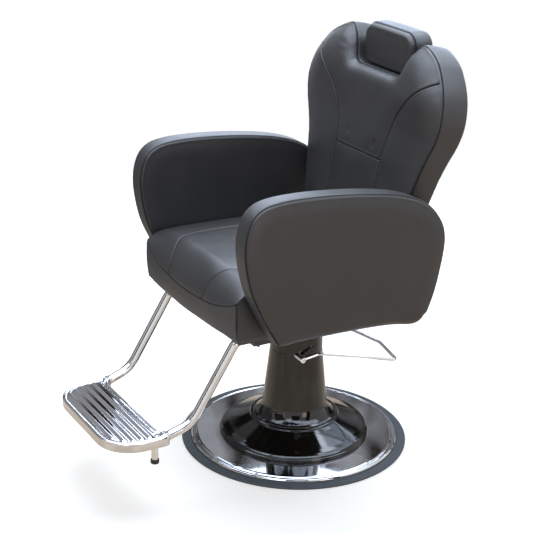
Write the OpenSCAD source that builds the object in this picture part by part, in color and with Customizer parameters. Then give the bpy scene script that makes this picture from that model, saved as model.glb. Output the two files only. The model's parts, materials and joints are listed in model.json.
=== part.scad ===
// Hydraulic barber chair: pump column on a round base, swivelling seat with two padded arms,
// reclining back, sliding headrest, pump pedal and fixed footrest.
// Frame: +Z up, origin on the floor at the column's axis, the sitter faces -Y, sitter's left is +X.

/* [Base] */
// Diameter over the rubber ring
base_d = 650; // [600:5:720]
// Width of the rubber ring
ring_w = 27; // [18:1:34]
// Height of the rubber ring
ring_h = 8; // [6:0.5:10]
// Thickness of the steel floor plate
floor_t = 8; // [6:0.5:10]
// Height of the polished disc where the bell cover stands on it
disc_h = 21; // [19:0.5:26]
// Radius of the bell cover at its foot
bell_r = 214; // [190:1:230]
// Height of the bell cover's top
bell_top_z = 78; // [70:1:90]
// Radius of the bell cover's shoulder
bell_neck_r = 128; // [122:1:140]

/* [Column] */
// Radius of the column cover at its foot
column_foot_r = 119; // [110:1:121]
// Radius of the column cover at its upper seam
column_top_r = 74.5; // [72:0.5:80]
// Height of the seam between column cover and collar
seam_z = 284; // [276:1:292]
// Height of the collar's top
collar_top_z = 340; // [330:1:350]
// Wall of the plastic covers
cover_t = 3; // [2:0.5:4]

/* [Pump] */
// Outer radius of the pump cylinder
pump_r = 45; // [40:1:50]
// Bore radius of the pump cylinder
pump_bore_r = 26; // [24.5:0.5:30]
// Radius of the ram
ram_r = 20; // [17:0.5:22]
// Lift travel of the ram
lift = 150; // [100:5:160]
// Distance of the pedal shaft in front of the column's axis
shaft_y = 36; // [33:1:38]
// Radius of the pedal shaft
shaft_r = 8.5; // [7:0.5:9]
// Half length of the pedal shaft
shaft_half = 100; // [92:1:106]
// Radius of the pedal's round bar
pedal_rod_r = 5; // [4:0.5:6]
// Half width of the pedal loop
pedal_half = 128; // [118:1:136]
// Reach of the pedal loop behind the column's axis
pedal_reach = 288; // [260:1:300]

/* [Seat] */
// Clear width between the arms
inner_w = 534; // [510:2:570]
// Thickness of an arm
arm_t = 63; // [50:1:80]
// Length of an arm
arm_l = 604; // [570:2:630]
// Height of an arm
arm_h = 405; // [380:1:420]
// Height of the arm's lowest point
arm_z = 439; // [436:0.5:442]
// Height of the underside of the seat board
board_z = 450; // [448:0.5:455]
// Thickness of the seat board
board_t = 15; // [12:0.5:18]
// Height of the crown of the seat cushion above the board
seat_h = 157; // [140:1:165]
// Distance of the seat's front edge from the column's axis
seat_front = 346; // [335:1:360]

/* [Back] */
// Width of the back at its widest
back_w = 640; // [620:2:660]
// Thickness of the back at its edge
back_t = 86; // [80:0.5:92]
// Lean of the back at rest, degrees
back_lean = 12.7; // [10:0.1:15]
// Width of the headrest notch
notch_w = 254; // [248:2:262]
// Width of the headrest cushion
head_w = 224; // [216:2:230]
// Height of the headrest cushion
head_h = 117; // [110:1:126]
// Depth of the headrest cushion
head_t = 62; // [54:1:70]
// Travel of the headrest
head_travel = 90; // [60:5:95]
// Recline angle, degrees
recline = 40; // [30:1:42]

/* [Footrest] */
// Diameter of the footrest tubes
foot_tube_d = 25; // [22:0.5:28]
// Width of the footplate
plate_w = 404; // [390:2:420]
// Depth of the footplate
plate_l = 149; // [140:1:158]
// Height of the footplate's top
plate_z = 210; // [202:1:216]
// Depth of the footplate's skirt
skirt_h = 27; // [24:1:32]

/* [Hidden] */
$fn = 72;

// Clearances: a turning or sliding fit on the radius, a loose fit, and a seated soft face
run_gap = 0.05;
loose = 0.3;

// Colours
vinyl = [0.23, 0.235, 0.25];
gloss_black = [0.05, 0.05, 0.055];
chrome = [0.82, 0.83, 0.85];
steel = [0.55, 0.56, 0.58];
rubber_c = [0.14, 0.15, 0.17];
bronze = [0.72, 0.52, 0.28];
plywood = [0.74, 0.58, 0.38];

// Base heights and radii
ring_in_r = base_d / 2 - ring_w;
floor_r = ring_in_r - 8;
hub_r = 72;
rim_h = 16;
rim_w = 13;

// Pump stack
flange_t = 12;
flange_z = floor_t + flange_t;
flange_bolt_r = 58;
flange_bolts_n = 6;
head_z = 262;
head_top_z = 318;
head_r = 45;
shaft_z = seam_z - 1;
grommet_r = 22.5;
bush_l = 30;
piston_h = 18;
piston_z = head_z - bush_l - lift - piston_h - 2;
seal_h = 4;
rocker_w = 14;

// Swivel stack above the ram
ram_top_z = 381;
ram_flange_r = 40;
ram_flange_t = 8;
bearing_t = 4;
spindle_r = 14;
hub_z = ram_top_z + bearing_t + loose;
hub_h = 7.7;
plate_t = 8;
swivel_z = hub_z + hub_h;
swivel_top_z = swivel_z + plate_t;
swivel_w = 200;
nut_h = 12;
bolt_r = 5;
bolt_head_r = 9;
bolt_head_h = 6;
plate_bolt_at = 75;

// Seat frame
crossbar_h = 20;
crossbar_z = board_z - crossbar_h;
rail_w = 25;
rail_front = -205;
rail_rear = 118;
crossbar_half = 170;
front_bar_w = 25;
rear_bar_w = 40;
board_top = board_z + board_t;
board_rear = 94;
board_half = 250;
board_front = seat_front - 20;
seat_side_gap = 5;
seat_half = inner_w / 2 - seat_side_gap;
bracket_t = 4;
bracket_half = 120;
bracket_top = 540;
screw_r = 3;

// Depth of the seams in the back
seam_depth = 5;

// Back frame, measured on its front plane: x across, d to the rear, s upwards
lumbar_y = 177;
lumbar_z = 838;
board_d = 66;
back_board_t = 12;
panel_bottom = -250;
back_bottom = -326;
notch_floor = 228;
board_margin = 16;
board_high = notch_floor - 20;

// Recline pivot and the strut that locks it
pivot_y = 165;
pivot_z = 480;
pivot_d = (pivot_y - lumbar_y) * cos(back_lean) - (pivot_z - lumbar_z) * sin(back_lean);
pivot_s = (pivot_y - lumbar_y) * sin(back_lean) + (pivot_z - lumbar_z) * cos(back_lean);
hinge_x = 150;
hinge_t = 6;
eye_r = 18;
pin_r = 6;
tube_r = 12;
crank_l = 65;
crank_y = pivot_y + crank_l * sin(recline / 2);
crank_z = pivot_z - crank_l * cos(recline / 2);
strut_x = 42;
strut_z = pivot_z - crank_l * (1 + cos(recline / 2)) / 2;
strut_r = 10;
strut_rod_r = 5;
strut_rear = 60;
strut_front = -172;
crank_pin_r = 4;
eye_clear = 2.5;
eye_w = 7;

// Headrest
head_d = 28;
head_s = notch_floor + 4.5;
bar_w = 30;
bar_t = 6;
bar_d = board_d + back_board_t / 2;
bar_l = 170;
socket_wall = 2.5;
socket_l = 120;

// Recline lever
lever_y = 30;
lever_z = 415;
lever_r = 5;
lever_x = inner_w / 2 + arm_t / 2;
lever_inner_x = 60;
lever_tip = [-100, 395];
grip_r = 11;
grip_l = 80;

// Footrest route: under the seat, down the front, into the plate
foot_x = 193;
foot_r = foot_tube_d / 2;
foot_neck_r = 7.5;
plate_rear = -514;
foot_top_z = board_z - 14;
foot_route = [[foot_x, -165, foot_top_z], [foot_x, -303, foot_top_z],
    [foot_x - 2, plate_rear + 81, plate_z + 15], [foot_x - 7, plate_rear + 15, plate_z - 7]];
foot_bends = [0, 34, 45, 0];
foot_neck_l = 22;
foot_dir = unit(foot_route[3] - foot_route[2]);
plate_corner_r = 96;
plate_t2 = 6;
flutes = 6;
peg_x = 182;
peg_y = plate_rear - 20;
peg_r = 9;
peg_tip_h = 12;
peg_bottom = 126;

// ---- helpers -------------------------------------------------------------------------------

function unit(v) = v / norm(v);
function perp(d) = unit(abs(d[2]) < 0.9 ? cross(d, [0, 0, 1]) : cross(d, [1, 0, 0]));
function pose(x, y, z, o) = [for (i = [0:2]) [x[i], y[i], z[i], o[i]]];
function mix(a, b, t) = a + (b - a) * t;
function flat(rows) = [for (row = rows) for (p = row) p];
function mirrored(p) = [-p[0], p[1], p[2]];
function reversed(l) = [for (i = [len(l) - 1:-1:0]) l[i]];

// Value at t on a smooth curve through evenly numbered knots
function knot(k, i) = k[max(0, min(len(k) - 1, i))];
function spline(a, b, c, d, t) = 0.5 * (2 * b + (c - a) * t + (2 * a - 5 * b + 4 * c - d) * t * t
    + (3 * b - a - 3 * c + d) * t * t * t);
function along(k, u) = let (i = min(len(k) - 2, floor(u)))
    spline(knot(k, i - 1), knot(k, i), knot(k, i + 1), knot(k, i + 2), u - i);
function around(k, u) = let (n = len(k), i = floor(u))
    spline(k[(i - 1 + n) % n], k[i % n], k[(i + 1) % n], k[(i + 2) % n], u - i);

module round_bar(a, b, r) {
    d = unit(b - a);
    multmatrix(pose(perp(d), cross(d, perp(d)), d, a)) cylinder(r = r, h = norm(b - a));
}

// Centre line through the points p, rounded to the radii in bend
bend_step = 12;
function bent(p, bend) = concat([p[0]], [for (i = [1:len(p) - 2]) let (d = unit(p[i] - p[i - 1]),
    e = unit(p[i + 1] - p[i]), turn = acos(d * e), side = unit(e - d * (d * e)),
    m = max(2, ceil(turn / bend_step))) for (k = [0:m]) let (a = turn * k / m)
        p[i] + bend[i] * (d * (sin(a) - tan(turn / 2)) + side * (1 - cos(a)))], [p[len(p) - 1]]);
function tangents(c) = [for (i = [0:len(c) - 1]) unit(c[min(i + 1, len(c) - 1)] - c[max(i - 1, 0)])];
function carried(t, u, i = 0) = i == len(t) ? [] :
    let (v = unit(u - t[i] * (u * t[i]))) concat([v], carried(t, v, i + 1));

// Round bar swept along the centre line c, with a radius for each of its points
bar_sides = 16;
module swept(c, r) {
    t = tangents(c);
    u = carried(t, perp(t[0]));
    n = len(c);
    stack([for (i = [0:n - 1]) [for (k = [0:bar_sides - 1]) let (a = 360 * k / bar_sides)
        c[i] + r[i] * (cos(a) * u[i] - sin(a) * cross(t[i], u[i]))]], c[0], c[n - 1]);
}

module bent_bar(p, bend, r) {
    c = bent(p, bend);
    swept(c, [for (q = c) r]);
}

module turned(outer, wall) {
    rotate_extrude($fn = 120)
        polygon(concat(outer, [for (p = reversed(outer)) [p[0] - wall, p[1]]]));
}

module along_x(x, y, z) {
    translate([x, y, z]) rotate([0, 90, 0]) children();
}

module pair() {
    children();
    mirror([1, 0, 0]) children();
}

module hex_bolt(head_r, head_h, shank_r, shank_l) {
    translate([0, 0, -head_h]) cylinder(r = head_r, h = head_h, $fn = 6);
    cylinder(r = shank_r, h = shank_l, $fn = 24);
}

// Closed skin over a grid of points seen from above, with loops of points down its sides
module pad(grid, loops) {
    rows = len(grid);
    cols = len(grid[0]);
    top = rows * cols;
    rim = concat([for (i = [0:cols - 1]) i], [for (j = [1:rows - 1]) j * cols + cols - 1],
        [for (i = [cols - 2:-1:0]) (rows - 1) * cols + i], [for (j = [rows - 2:-1:1]) j * cols]);
    n = len(rim);
    rings = concat([rim], [for (k = [0:len(loops) - 1]) [for (i = [0:n - 1]) top + k * n + i]]);
    last = rings[len(loops)];
    base = loops[len(loops) - 1];
    centre = top + n * len(loops);
    middle = [for (c = [0:2]) [for (p = base) p[c]] * [for (p = base) 1] / n];
    polyhedron(points = concat(flat(grid), flat(loops), [middle]), faces = concat(
        [for (j = [0:rows - 2]) for (i = [0:cols - 2]) [j * cols + i, (j + 1) * cols + i + 1,
            j * cols + i + 1]],
        [for (j = [0:rows - 2]) for (i = [0:cols - 2]) [j * cols + i, (j + 1) * cols + i,
            (j + 1) * cols + i + 1]],
        [for (k = [0:len(loops) - 1]) for (i = [0:n - 1]) [rings[k][i], rings[k][(i + 1) % n],
            rings[k + 1][(i + 1) % n]]],
        [for (k = [0:len(loops) - 1]) for (i = [0:n - 1]) [rings[k][i], rings[k + 1][(i + 1) % n],
            rings[k + 1][i]]],
        [for (i = [0:n - 1]) [centre, last[i], last[(i + 1) % n]]]), convexity = 6);
}

function rim_of(grid) = let (rows = len(grid), cols = len(grid[0])) concat(
    grid[0], [for (j = [1:rows - 1]) grid[j][cols - 1]],
    [for (i = [cols - 2:-1:0]) grid[rows - 1][i]], [for (j = [rows - 2:-1:1]) grid[j][0]]);

// Closed skin through a stack of loops, top first, each counter-clockwise from above
module stack(loops, top_c, bottom_c) {
    n = len(loops[0]);
    m = len(loops);
    polyhedron(points = concat(flat(loops), [top_c, bottom_c]), faces = concat(
        [for (k = [0:m - 2]) for (i = [0:n - 1]) [k * n + i, k * n + (i + 1) % n,
            (k + 1) * n + (i + 1) % n]],
        [for (k = [0:m - 2]) for (i = [0:n - 1]) [k * n + i, (k + 1) * n + (i + 1) % n,
            (k + 1) * n + i]],
        [for (i = [0:n - 1]) [m * n, (i + 1) % n, i]],
        [for (i = [0:n - 1]) [m * n + 1, (m - 1) * n + i, (m - 1) * n + (i + 1) % n]]),
        convexity = 6);
}

// Padded shape of an outline: crowned faces, seams at both edges, band drawn in between them
module pillow(outline, centre, half, crown, tuck) {
    steps = [[0.3, half + crown], [0.62, half + crown * 0.86], [0.86, half + crown * 0.45],
        [0.975, half], [1, half - 5], [1 - tuck, 0], [1, 5 - half], [0.975, -half],
        [0.86, -half - crown * 0.45], [0.62, -half - crown * 0.86], [0.3, -half - crown]];
    stack([for (s = steps) [for (p = outline) let (q = mix(centre, p, s[0])) [q[0], q[1], s[1]]]],
        [centre[0], centre[1], half + crown], [centre[0], centre[1], -half - crown]);
}

// ---- base ----------------------------------------------------------------------------------

module base_ring() {
    r = base_d / 2;
    color(rubber_c) rotate_extrude($fn = 120) polygon([[ring_in_r, 0], [r - 2, 0], [r, 2],
        [r, ring_h - 4], [r - 1, ring_h - 2], [r - 4, ring_h], [ring_in_r, ring_h]]);
}

module floor_plate() {
    color(steel) cylinder(r = floor_r, h = floor_t, $fn = 120);
}

module base_plate() {
    r = ring_in_r;
    t = 3.5;
    color(chrome) rotate_extrude($fn = 120) polygon([[hub_r, floor_t], [hub_r + 14, floor_t],
        [hub_r + 14, disc_h + 1 - t], [bell_r, disc_h - t], [r - rim_w, rim_h - 2.5 - t],
        [r - rim_w + 2, rim_h - t], [r - t - 1, rim_h - t], [r - t, rim_h - t - 1], [r - t, 1],
        [r, 1], [r, rim_h - 3], [r - 1, rim_h - 1], [r - 4, rim_h], [r - rim_w + 2, rim_h],
        [r - rim_w, rim_h - 2.5], [bell_r, disc_h], [bell_r - 16, disc_h], [hub_r, disc_h + 2]]);
}

module bell_cover() {
    r = bell_r;
    z = disc_h;
    t = cover_t;
    n = bell_neck_r;
    h = bell_top_z;
    color(gloss_black) rotate_extrude($fn = 120) polygon([[r - 8, z], [r - 2, z], [r, z + 3],
        [r, z + 9], [r - 3, z + 14], [r - 11, z + 18], [r - 24, z + 23], [n + 12, h - 9], [n, h - 3],
        [n - 4, h], [column_foot_r - 24, h], [column_foot_r - 24, h - t], [n - 6, h - t],
        [n, h - t - 4], [r - 26, z + 19], [r - 13, z + 14], [r - 8, z + 8]]);
}

function column_r(z) = let (t = (z - bell_top_z) / (seam_z - bell_top_z))
    column_top_r + (96 - column_top_r) * (1 - t)
    + (column_foot_r - 96) * pow(max(0, 1 - t * 4.6), 2.2);

module pivot_hole(r) {
    along_x(-shaft_half, -shaft_y, shaft_z) cylinder(r = r, h = 2 * shaft_half);
}

module column_cover() {
    levels = concat([for (i = [0:6]) bell_top_z + i * 7], [for (i = [1:5])
        mix(bell_top_z + 42, seam_z - loose, i / 5)]);
    color(gloss_black) difference() {
        turned([for (z = levels) [column_r(z), z]], cover_t);
        pivot_hole(grommet_r);
    }
}

module column_collar() {
    r = column_top_r;
    h = collar_top_z;
    color(gloss_black) difference() {
        rotate_extrude($fn = 120) polygon([[r - cover_t, seam_z], [r, seam_z], [r - 1.5, h - 4],
            [r - 4, h], [ram_r + 2, h], [ram_r + 2, h - cover_t], [r - cover_t - 2, h - cover_t]]);
        pivot_hole(grommet_r);
    }
}

module pump_cylinder() {
    color(steel) difference() {
        union() {
            translate([0, 0, floor_t]) cylinder(r = hub_r - 2, h = flange_t);
            translate([0, 0, floor_t]) cylinder(r = pump_r, h = head_z - floor_t);
        }
        translate([0, 0, flange_z]) cylinder(r = pump_bore_r, h = head_z);
        for (i = [1:flange_bolts_n]) rotate([0, 0, i * 360 / flange_bolts_n])
            translate([flange_bolt_r, 0, 0]) cylinder(r = bolt_r + loose, h = flange_z + 1);
    }
}

module flange_bolts() {
    color(steel) for (i = [1:flange_bolts_n]) rotate([0, 0, i * 360 / flange_bolts_n])
        translate([flange_bolt_r, 0, flange_z]) rotate([180, 0, 0])
            hex_bolt(bolt_head_r, bolt_head_h, bolt_r, flange_t);
}

module pump_head() {
    boss = 2 * (shaft_y - ram_r) + 10;
    color(steel) difference() {
        union() {
            translate([0, 0, head_z]) cylinder(r = head_r, h = head_top_z - head_z);
            translate([-boss, -shaft_y - shaft_r - 7, head_z]) cube([2 * boss, shaft_y, 42]);
        }
        cylinder(r = ram_r + 1, h = head_top_z + 1);
        pivot_hole(shaft_r + run_gap);
        translate([-rocker_w / 2 - 1, -shaft_y - 40, head_z - 1])
            cube([rocker_w + 2, 54, head_top_z - head_z + 2]);
    }
}

module guide_bush() {
    color(bronze) difference() {
        translate([0, 0, head_z - bush_l]) cylinder(r = pump_bore_r, h = bush_l);
        cylinder(r = ram_r + run_gap, h = head_z + 1);
    }
}

module seal_ring(z, r) {
    difference() {
        translate([0, 0, z]) cylinder(r = r, h = seal_h);
        cylinder(r = ram_r + loose, h = z + seal_h + 1);
    }
}

module head_seal() {
    color(rubber_c) seal_ring(head_top_z, ram_r + 9);
}

module ram_wiper() {
    color(rubber_c) seal_ring(collar_top_z, ram_r + 10);
}

module pivot_grommets() {
    color(rubber_c) pair() difference() {
        intersection() {
            along_x(head_r + 1, -shaft_y, shaft_z)
                cylinder(r = grommet_r - 0.1, h = column_top_r - head_r);
            cylinder(r = column_top_r - 2, h = collar_top_z);
        }
        pivot_hole(shaft_r + loose);
    }
}

// ---- pump pedal ----------------------------------------------------------------------------

pedal_start = [shaft_half - 7, -shaft_y, shaft_z];
pedal_half_route = [pedal_start, [shaft_half + 1, -shaft_y + 53, shaft_z + 12],
    [pedal_half, pedal_reach - 26, shaft_z - 49]];
pedal_route = concat(pedal_half_route, [[0, pedal_reach, shaft_z - 49]],
    [for (i = [2:-1:0]) mirrored(pedal_half_route[i])]);
pedal_bends = [0, 60, 20, 60, 20, 60, 0];

module pedal_shaft() {
    color(chrome) difference() {
        along_x(-shaft_half, -shaft_y, shaft_z) cylinder(r = shaft_r, h = 2 * shaft_half);
        pair() along_x(shaft_half - 3, -shaft_y, shaft_z) cylinder(r = 3.3, h = 4);
        pair() round_bar(pedal_route[0], pedal_route[1], pedal_rod_r);
    }
}

module pedal_rod() {
    color(chrome) bent_bar(pedal_route, pedal_bends, pedal_rod_r);
}

module pump_rocker() {
    color(steel) difference() {
        union() {
            along_x(-rocker_w / 2, -shaft_y, shaft_z) cylinder(r = shaft_r + 5, h = rocker_w);
            translate([-rocker_w / 2, -shaft_y - 26, shaft_z - 5]) cube([rocker_w, 22, 10]);
        }
        pivot_hole(shaft_r);
    }
}

// ---- ram and swivel ------------------------------------------------------------------------

module ram() {
    color(chrome) union() {
        translate([0, 0, piston_z]) cylinder(r = pump_bore_r - run_gap, h = piston_h);
        translate([0, 0, piston_z]) cylinder(r = ram_r, h = ram_top_z - piston_z);
        translate([0, 0, ram_top_z - ram_flange_t]) cylinder(r = ram_flange_r, h = ram_flange_t);
        translate([0, 0, ram_top_z]) cylinder(r = spindle_r, h = swivel_top_z + nut_h - ram_top_z);
    }
}

module thrust_bearing() {
    color(bronze) difference() {
        translate([0, 0, ram_top_z]) cylinder(r = ram_flange_r - 2, h = bearing_t);
        cylinder(r = spindle_r, h = ram_top_z + bearing_t + 1);
    }
}

module spindle_nut() {
    color(steel) difference() {
        translate([0, 0, swivel_top_z + loose]) cylinder(r = 22, h = nut_h - loose, $fn = 6);
        cylinder(r = spindle_r, h = swivel_top_z + nut_h + 1);
    }
}

module swivel_plate() {
    color(steel) difference() {
        union() {
            translate([0, 0, hub_z]) cylinder(r = ram_flange_r - 3, h = swivel_z - hub_z);
            translate([-swivel_w / 2, -swivel_w / 2, swivel_z]) cube([swivel_w, swivel_w, plate_t]);
        }
        cylinder(r = spindle_r + run_gap, h = swivel_top_z + 1);
        for (x = [-1, 1], y = [-1, 1]) translate([x * plate_bolt_at, y * plate_bolt_at, 0])
            cylinder(r = bolt_r + loose, h = swivel_top_z + 1, $fn = 24);
    }
}

module plate_bolts() {
    color(steel) for (x = [-1, 1], y = [-1, 1])
        translate([x * plate_bolt_at, y * plate_bolt_at, swivel_z])
            hex_bolt(bolt_head_r, bolt_head_h, bolt_r, plate_t + 20);
}

// ---- seat frame ----------------------------------------------------------------------------

module frame_rails() {
    color(steel) difference() {
        pair() translate([plate_bolt_at - rail_w / 2, rail_front, swivel_top_z])
            cube([rail_w, rail_rear - rail_front, crossbar_z - swivel_top_z]);
        for (x = [-1, 1], y = [-1, 1])
            translate([x * plate_bolt_at, y * plate_bolt_at, swivel_z])
                cylinder(r = bolt_r + loose, h = plate_t + 21, $fn = 24);
        along_x(-plate_bolt_at - rail_w, lever_y, lever_z) cylinder(r = lever_r + run_gap, h = 2 * rail_w);
    }
}

module frame_crossbars() {
    color(steel) difference() {
        for (bar = [[rail_front, front_bar_w], [rail_rear - rear_bar_w, rear_bar_w]])
            translate([-crossbar_half, bar[0], crossbar_z])
                cube([2 * crossbar_half, bar[1], crossbar_h]);
        for (p = board_screw_at) translate([p[0], p[1], crossbar_z - 1])
            cylinder(r = screw_r + loose, h = crossbar_h + 2, $fn = 24);
    }
}

bracket_x = inner_w / 2 - bracket_t - 0.4;
leg_in = 190;
leg_hole_x = 215;
leg_holes_y = [-80, 0, 80];
board_screw_at = [[-130, rail_front + 12], [130, rail_front + 12], [-130, 85], [130, 85]];

module seat_board() {
    color(plywood) difference() {
        translate([-board_half, -board_front, board_z])
            cube([2 * board_half, board_front + board_rear, board_t]);
        pair() for (y = leg_holes_y) translate([leg_hole_x, y, board_z - 1])
            cylinder(r = screw_r + loose, h = board_t - 3, $fn = 24);
        for (p = board_screw_at) translate([p[0], p[1], board_z - 1])
            cylinder(r = screw_r + loose, h = board_t - 3, $fn = 24);
        pair() for (y = socket_holes_y) translate([foot_x + socket_hole_x, y, board_z - 1])
            cylinder(r = screw_r + loose, h = board_t - 3, $fn = 24);
    }
}

module board_screws() {
    color(steel) for (p = board_screw_at) translate([p[0], p[1], crossbar_z])
        hex_bolt(screw_r + 3, 4, screw_r, crossbar_h + 8);
}

module arm_brackets() {
    color(steel) difference() {
        pair() union() {
            translate([bracket_x, -bracket_half, board_z - bracket_t])
                cube([bracket_t, 2 * bracket_half, bracket_top - board_z + bracket_t]);
            translate([leg_in, -bracket_half, board_z - bracket_t])
                cube([bracket_x - leg_in + 1, 2 * bracket_half, bracket_t]);
        }
        pair() for (y = leg_holes_y) translate([leg_hole_x, y, board_z - bracket_t - 1])
            cylinder(r = screw_r + loose, h = bracket_t + 2, $fn = 24);
    }
}

module bracket_screws() {
    color(steel) pair() for (y = leg_holes_y) translate([leg_hole_x, y, board_z - bracket_t])
        hex_bolt(screw_r + 3, 4, screw_r, bracket_t + 9);
}

// ---- seat cushion --------------------------------------------------------------------------

// Columns across half the seat: the fifth follows the horseshoe seam
seat_seam_half = [96, 128, 148, 152, 150, 142, 128, 110, 96];
seat_rows = 22;
function seat_cols(x_seam) = let (h = [0, 0.34, 0.68, 0.92, 1]) concat(
    [for (i = [0, 0.12, 0.3, 0.6, 0.9]) -mix(seat_half, x_seam, i)],
    [for (i = [4:-1:1]) -x_seam * h[i]], [for (f = h) x_seam * f],
    [for (i = [0.9, 0.6, 0.3, 0.12, 0]) mix(seat_half, x_seam, i)]);
function seat_front_at(x) = -seat_front - 16 * (1 - pow(x / seat_half, 2));
seat_top_s = (board_top + seat_h - lumbar_z) / cos(back_lean);
function seat_rear_at(z) = lumbar_y + (z - lumbar_z) * tan(back_lean)
    - (back_puff(0, seat_top_s) + 1) / cos(back_lean);
function front_rise(t) = pow(sin(90 * min(1, t / 0.17)), 0.8);
function seam_dip(x, x_seam) = 5 * max(0, 1 - abs(abs(x) - x_seam) / 6);
function seat_z(x, t, x_seam) = let (e = abs(x) / seat_half, edge = 124 + 10 * sin(180 * t),
    front = 72 + 34 * pow(e, 3), crown = mix(seat_h - 2, edge, pow(e, 2.4)))
    board_top + mix(front, crown - 6 * t, front_rise(t)) - (t > 0.05 && t < 0.98 ? seam_dip(x, x_seam) : 0);
function seat_grid() = [for (j = [0:seat_rows]) let (t = pow(j / seat_rows, 1.35),
    x_seam = along(seat_seam_half, 8 * t)) [for (x = seat_cols(x_seam)) let (z = seat_z(x, t, x_seam))
        [x, mix(seat_front_at(x), seat_rear_at(z), t), z]]];

module seat_cushion() {
    grid = seat_grid();
    rim = rim_of(grid);
    color(vinyl) pad(grid, [
        [for (p = rim) [p[0] * 0.985, p[1] < 0 ? p[1] * 0.99 : seat_rear_at(p[2] * 0.5 + board_top * 0.5),
            mix(board_top, p[2], 0.5)]],
        [for (p = rim) [p[0] * 0.985, p[1] < 0 ? p[1] * 0.985 : seat_rear_at(board_top), board_top]]]);
}

// ---- arms ----------------------------------------------------------------------------------

// Arm outline as shares of its length and height, from the front of the underside upwards
arm_shape = [[0.31, 0.054], [0.185, 0.045], [0.155, 0.09], [0.093, 0.25], [0.03, 0.46],
    [0.0, 0.70], [0.015, 0.87], [0.065, 0.965], [0.16, 1.0], [0.33, 1.0], [0.54, 0.973],
    [0.73, 0.925], [0.87, 0.85], [0.955, 0.74], [1.0, 0.59], [0.985, 0.36], [0.945, 0.14],
    [0.885, 0.005], [0.73, 0.03], [0.52, 0.048]];
arm_front = -353;
arm_points = 44;
arm_outline = [for (i = [0:arm_points - 1]) let (p = around(arm_shape,
    i * len(arm_shape) / arm_points)) [arm_front + p[0] * arm_l, arm_z + p[1] * arm_h]];

module arm(x) {
    crown = 3;
    color(vinyl) translate([x, 0, 0]) rotate([90, 0, 90])
        pillow(reversed(arm_outline), [arm_front + arm_l * 0.47, arm_z + arm_h * 0.55],
            arm_t / 2 - crown, crown, 0.012);
}

module left_arm() {
    arm(inner_w / 2 + arm_t / 2);
}

module right_arm() {
    arm(-inner_w / 2 - arm_t / 2);
}

// ---- footrest ------------------------------------------------------------------------------

socket_front = -262;
socket_l2 = 100;
socket_w = 44;
socket_hole_x = 17.5;
socket_holes_y = [socket_front + 15, socket_front + socket_l2 - 15];

module foot_tube() {
    c = bent(foot_route, foot_bends);
    last = foot_route[3];
    color(chrome) swept(concat(c, [last, last + foot_dir * foot_neck_l]),
        concat([for (q = c) foot_r], [foot_neck_r, foot_neck_r]));
}

module left_foot_tube() {
    foot_tube();
}

module right_foot_tube() {
    mirror([1, 0, 0]) foot_tube();
}

module foot_sockets() {
    z = foot_route[0][2];
    color(steel) pair() difference() {
        translate([foot_x - socket_w / 2, socket_front, z - foot_r - 4])
            cube([socket_w, socket_l2, board_z - z + foot_r + 4]);
        round_bar(foot_route[0] + [0, 1, 0], foot_route[1], foot_r);
        for (y = socket_holes_y) translate([foot_x + socket_hole_x, y, z - foot_r - 5])
            cylinder(r = screw_r + loose, h = 50, $fn = 24);
    }
}

module foot_screws() {
    z = foot_route[0][2] - foot_r - 4;
    color(steel) pair() for (y = socket_holes_y) translate([foot_x + socket_hole_x, y, z])
        hex_bolt(screw_r + 1.4, 4, screw_r, board_z - z + 9);
}

// Footplate outline, inset by e from its edge
module plate_outline(e) {
    w = plate_w / 2 - e;
    y0 = plate_rear - e;
    y1 = plate_rear - plate_l + e;
    r = plate_corner_r - e;
    polygon(concat([[-w, y0], [-w, y1 + r]],
        [for (a = [0:10:90]) [-w + r * (1 - cos(a)), y1 + r * (1 - sin(a))]],
        [for (a = [90:-10:0]) [w - r * (1 - cos(a)), y1 + r * (1 - sin(a))]],
        [[w, y0]]));
}

module foot_plate() {
    e = 11;
    pitch = (plate_l - 2 * e) / flutes;
    last = foot_route[3];
    color(chrome) difference() {
        union() {
            difference() {
                translate([0, 0, plate_z - skirt_h]) linear_extrude(skirt_h) plate_outline(0);
                translate([0, 0, plate_z - skirt_h - 1]) linear_extrude(skirt_h - plate_t2 - 3)
                    plate_outline(plate_t2);
            }
            pair() round_bar(last + foot_dir, last + foot_dir * (foot_neck_l + 2), foot_r + 2);
        }
        for (i = [0:flutes - 1]) difference() {
            translate([-plate_w, plate_rear - e - (i + 0.5) * pitch - 6, plate_z - 3])
                cube([2 * plate_w, 12, 4]);
            difference() {
                translate([0, 0, plate_z - 4]) linear_extrude(6) square(3 * plate_w, center = true);
                translate([0, 0, plate_z - 5]) linear_extrude(8) plate_outline(e);
            }
        }
        pair() round_bar(last - foot_dir, last + foot_dir * foot_neck_l, foot_neck_r);
    }
}

module foot_pegs() {
    top = plate_z - plate_t2 - 4;
    color(chrome) pair() translate([peg_x, peg_y, peg_bottom + peg_tip_h])
        cylinder(r = peg_r, h = top - peg_bottom - peg_tip_h);
}

module peg_tips() {
    color(rubber_c) pair() translate([peg_x, peg_y, peg_bottom])
        cylinder(r = peg_r + 2.5, h = peg_tip_h);
}

// ---- recline hinge, strut and lever --------------------------------------------------------

module hinge_brackets() {
    y = rail_rear - 22;
    color(steel) pair() along_yz(hinge_x + hinge_t + 1, hinge_t) difference() {
        union() {
            translate([pivot_y, pivot_z]) circle(eye_r);
            polygon([[y, board_z], [rail_rear, board_z], [pivot_y + 4, pivot_z - eye_r + 0.5],
                [pivot_y - 8, pivot_z + eye_r - 2], [y, board_z + 12]]);
        }
        translate([pivot_y, pivot_z]) circle(pin_r);
    }
}

// Extrudes a (y, z) outline along +X from x over the thickness t
module along_yz(x, t) {
    translate([x, 0, 0]) rotate([90, 0, 90]) linear_extrude(t) children();
}

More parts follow.
